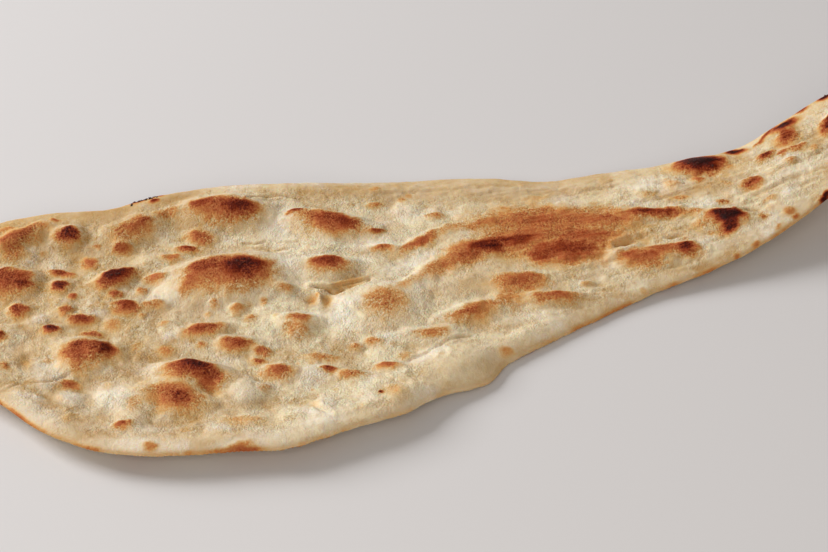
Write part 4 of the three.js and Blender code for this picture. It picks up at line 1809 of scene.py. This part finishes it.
@dataclass(frozen=True)
class CharCrumbs:
    """Brittle black crumbs that cling to the burnt crowns and to the scorched back edge.

    Each is a small ball that is pushed out of round and stretched at random.

    Attributes:
        radius: Usual radius of a crumb, in millimetres.
        per_mm2: Crumbs on each square millimetre where the bread's char attribute is 1.
        seed: Number that fixes where they lie.
        jaggedness: How far their faces are pushed about, against the radius.
    """

    radius: float = 0.5
    per_mm2: float = 0.22
    seed: Seed = Seed.CRUMBS
    jaggedness: float = 1.1

    def scatter_tree(self) -> bpy.types.NodeTree:
        """Builds the Geometry Nodes tree that strews crumbs over a surface.

        Returns:
            The tree, with the inputs Density, Radius, Seed and Finish.
        """
        tree = bpy.data.node_groups.new("strew_crumbs", "GeometryNodeTree")
        tree.interface.new_socket("Surface", in_out="INPUT", socket_type="NodeSocketGeometry")
        for name, kind in (
            ("Density", "NodeSocketFloat"), ("Radius", "NodeSocketFloat"), ("Seed", "NodeSocketInt"),
            ("Finish", "NodeSocketMaterial"),
        ):  # fmt: skip
            tree.interface.new_socket(name, in_out="INPUT", socket_type=kind)
        tree.interface.new_socket("Crumbs", in_out="OUTPUT", socket_type="NodeSocketGeometry")
        add = partial(add_node, tree)
        given = add("NodeGroupInput").outputs
        named = {"Name": Layer.CHAR.value}
        char = add("GeometryNodeInputNamedAttribute", {"data_type": "FLOAT"}, named).outputs["Attribute"]
        density = add("ShaderNodeMath", {"operation": "MULTIPLY"}, {0: char, 1: given["Density"]}).outputs[0]
        strewn = {"Mesh": given["Surface"], "Density": density, "Seed": given["Seed"]}
        points = add("GeometryNodeDistributePointsOnFaces", None, strewn).outputs["Points"]
        ball = {"Radius": given["Radius"], "Subdivisions": 2}
        ball = add("GeometryNodeMeshIcoSphere", None, ball).outputs["Mesh"]
        rough = add("ShaderNodeTexNoise", {"noise_dimensions": "3D"}, {"Scale": 2600.0}).outputs["Color"]
        centred = {0: rough, 1: (0.5, 0.5, 0.5)}
        pushed = add("ShaderNodeVectorMath", {"operation": "SUBTRACT"}, centred).outputs[0]
        scaled = {0: pushed, "Scale": self.jaggedness * self.radius * MM}
        jag = add("ShaderNodeVectorMath", {"operation": "SCALE"}, scaled).outputs[0]
        chip = add("GeometryNodeSetPosition", None, {"Geometry": ball, "Offset": jag}).outputs["Geometry"]

        def chance(low: tuple[float, float, float], high: tuple[float, float, float]) -> Any:
            """A random vector for each crumb."""
            limits = {0: low, 1: high, "Seed": given["Seed"]}
            return add("FunctionNodeRandomValue", {"data_type": "FLOAT_VECTOR"}, limits).outputs[0]

        crumb = {
            "Points": points,
            "Instance": chip,
            "Rotation": chance((-0.5, -0.5, -3.1), (0.5, 0.5, 3.1)),
            "Scale": chance((0.6, 0.5, 0.35), (2.0, 1.5, 0.8)),
        }
        crumbs = add("GeometryNodeInstanceOnPoints", None, crumb).outputs["Instances"]
        whole = add("GeometryNodeRealizeInstances", None, {"Geometry": crumbs}).outputs["Geometry"]
        charred = {"Geometry": whole, "Material": given["Finish"]}
        finished = add("GeometryNodeSetMaterial", None, charred).outputs["Geometry"]
        add("NodeGroupOutput", None, {"Crumbs": finished})
        return tree

    def build(self, skin: bpy.types.Object, finish: bpy.types.Material) -> bpy.types.Object:
        """Strews the crumbs over the bread and keeps them as one plain mesh.

        Args:
            skin: The bread, whose char attribute says where crumbs lie.
            finish: Their material.

        Returns:
            The crumbs' object.
        """
        holder = bpy.data.objects.new("crumb_holder", skin.data)
        bpy.context.scene.collection.objects.link(holder)
        strew = holder.modifiers.new("strew", "NODES")
        strew.node_group = self.scatter_tree()
        values = {
            "Density": self.per_mm2 / MM**2,
            "Radius": self.radius * MM,
            "Seed": int(self.seed),
            "Finish": finish,
        }
        for item in strew.node_group.interface.items_tree:
            if item.in_out == "INPUT" and item.name in values:
                strew[item.identifier] = values[item.name]
        evaluated = holder.evaluated_get(bpy.context.evaluated_depsgraph_get())
        mesh = bpy.data.meshes.new_from_object(evaluated)
        holder.modifiers.remove(strew)
        bpy.data.objects.remove(holder)
        mesh.name = "char_crumbs"
        mesh.shade_flat()
        piece = bpy.data.objects.new("char_crumbs", mesh)
        bpy.context.scene.collection.objects.link(piece)
        LOG.info("char_crumbs: %d triangles", len(mesh.polygons))
        return piece


# ---------------------------------------------------------------------------------------------
# Studio
# ---------------------------------------------------------------------------------------------


@dataclass(frozen=True)
class Softbox:
    """A large square light that faces the bread.

    Attributes:
        name: Name of the light.
        azimuth: Where it stands, in degrees from +X, anticlockwise seen from above.
        elevation: How high it stands, in degrees.
        distance: How far off, in metres.
        size: Side, in metres.
        watts: Its power.
        tint: Its colour.
    """

    name: str
    azimuth: float
    elevation: float
    distance: float
    size: float
    watts: float
    tint: str = "ffffff"

    def place(self) -> None:
        """Adds the light, aimed at the bread."""
        light = bpy.data.lights.new(self.name, "AREA")
        light.shape, light.size, light.energy = "SQUARE", self.size, self.watts
        light.color = linear(self.tint)[:3]
        lamp = bpy.data.objects.new(self.name, light)
        a, e = math.radians(self.azimuth), math.radians(self.elevation)
        away = Vector((math.cos(a) * math.cos(e), math.sin(a) * math.cos(e), math.sin(e)))
        lamp.location = away * self.distance
        lamp.rotation_mode = "QUATERNION"
        lamp.rotation_quaternion = away.to_track_quat("Z", "Y")
        bpy.context.scene.collection.objects.link(lamp)


@dataclass(frozen=True)
class Studio:
    """A pale floor, soft light from the back left, a weak fill from the front, and the camera.

    Attributes:
        aim: Point on the floor that the camera looks at, in millimetres.
        azimuth: The camera's turn round the bread, 0 looking along +Y.
        elevation: The camera's height above the horizon, in degrees.
        distance: From the camera to its aim, in millimetres.
        lens: Focal length on a sensor 36 mm wide.
        floor_size: Side of the floor, in metres.
        floor_gap: How far the floor lies below the bread, in metres.
        lights: The lights.
        ambient: Strength of the surroundings.
        surroundings: Their colour.
    """

    aim: tuple[float, float] = (-9.0, 10.5)
    azimuth: float = -16.0
    elevation: float = 42.0
    distance: float = 1182.0
    lens: float = 113.0
    floor_size: float = 8.0
    floor_gap: float = 0.0001
    lights: tuple[Softbox, ...] = (
        Softbox("key", 138.0, 28.0, 2.6, 1.14, 71.0, "fefeff"),
        Softbox("fill", -115.0, 38.0, 2.0, 1.4, 13.5, "fff7ec"),
    )
    ambient: float = 0.272
    surroundings: str = "f6efea"

    def build(self) -> None:
        """Makes the floor, the lights, the surroundings and the camera."""
        self.lay_floor()
        for light in self.lights:
            light.place()
        world = bpy.data.worlds.new("studio")
        world.use_nodes = True
        background = world.node_tree.nodes["Background"]
        background.inputs["Color"].default_value = linear(self.surroundings)
        background.inputs["Strength"].default_value = self.ambient
        bpy.context.scene.world = world
        self.set_camera()
        view = bpy.context.scene.view_settings
        view.view_transform, view.look = "Standard", "None"

    def lay_floor(self) -> None:
        """Adds the floor, a hair below the bread."""
        half, low = self.floor_size / 2, -self.floor_gap
        corners = [(-half, -half, low), (half, -half, low), (half, half, low), (-half, half, low)]
        mesh = bpy.data.meshes.new("floor")
        mesh.from_pydata(corners, [], [(0, 1, 2, 3)])
        floor = bpy.data.objects.new("floor", mesh)
        mesh.materials.append(MattLacquer().material())
        bpy.context.scene.collection.objects.link(floor)

    def set_camera(self) -> None:
        """Adds the camera and makes it the scene's own."""
        data = bpy.data.cameras.new("camera")
        data.lens, data.sensor_width, data.clip_start, data.clip_end = self.lens, 36.0, 0.05, 50.0
        camera = bpy.data.objects.new("camera", data)
        a, e = math.radians(self.azimuth), math.radians(self.elevation)
        back = Vector((math.sin(a) * math.cos(e), -math.cos(a) * math.cos(e), math.sin(e)))
        camera.location = Vector((*self.aim, 0.0)) * MM + back * self.distance * MM
        camera.rotation_mode = "QUATERNION"
        camera.rotation_quaternion = (-back).to_track_quat("-Z", "Y")
        bpy.context.scene.collection.objects.link(camera)
        bpy.context.scene.camera = camera


def main() -> None:
    """Builds the studio and the bread in order, and reports each piece."""
    logging.basicConfig(level=logging.INFO, format="%(name)s: %(message)s")
    low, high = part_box("naan")
    Studio().build()
    bread = NaanBread(Form(Outline(half_length=(high.x - low.x) / 2 / MM)))
    skin = bread.build()
    skin.data.materials.append(BakedCrust().material())
    crumbs = CharCrumbs().build(skin, CharredDough().material())
    for piece in (skin, crumbs):
        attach(piece, "root")
        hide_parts("naan")


if __name__ == "__main__":
    main()
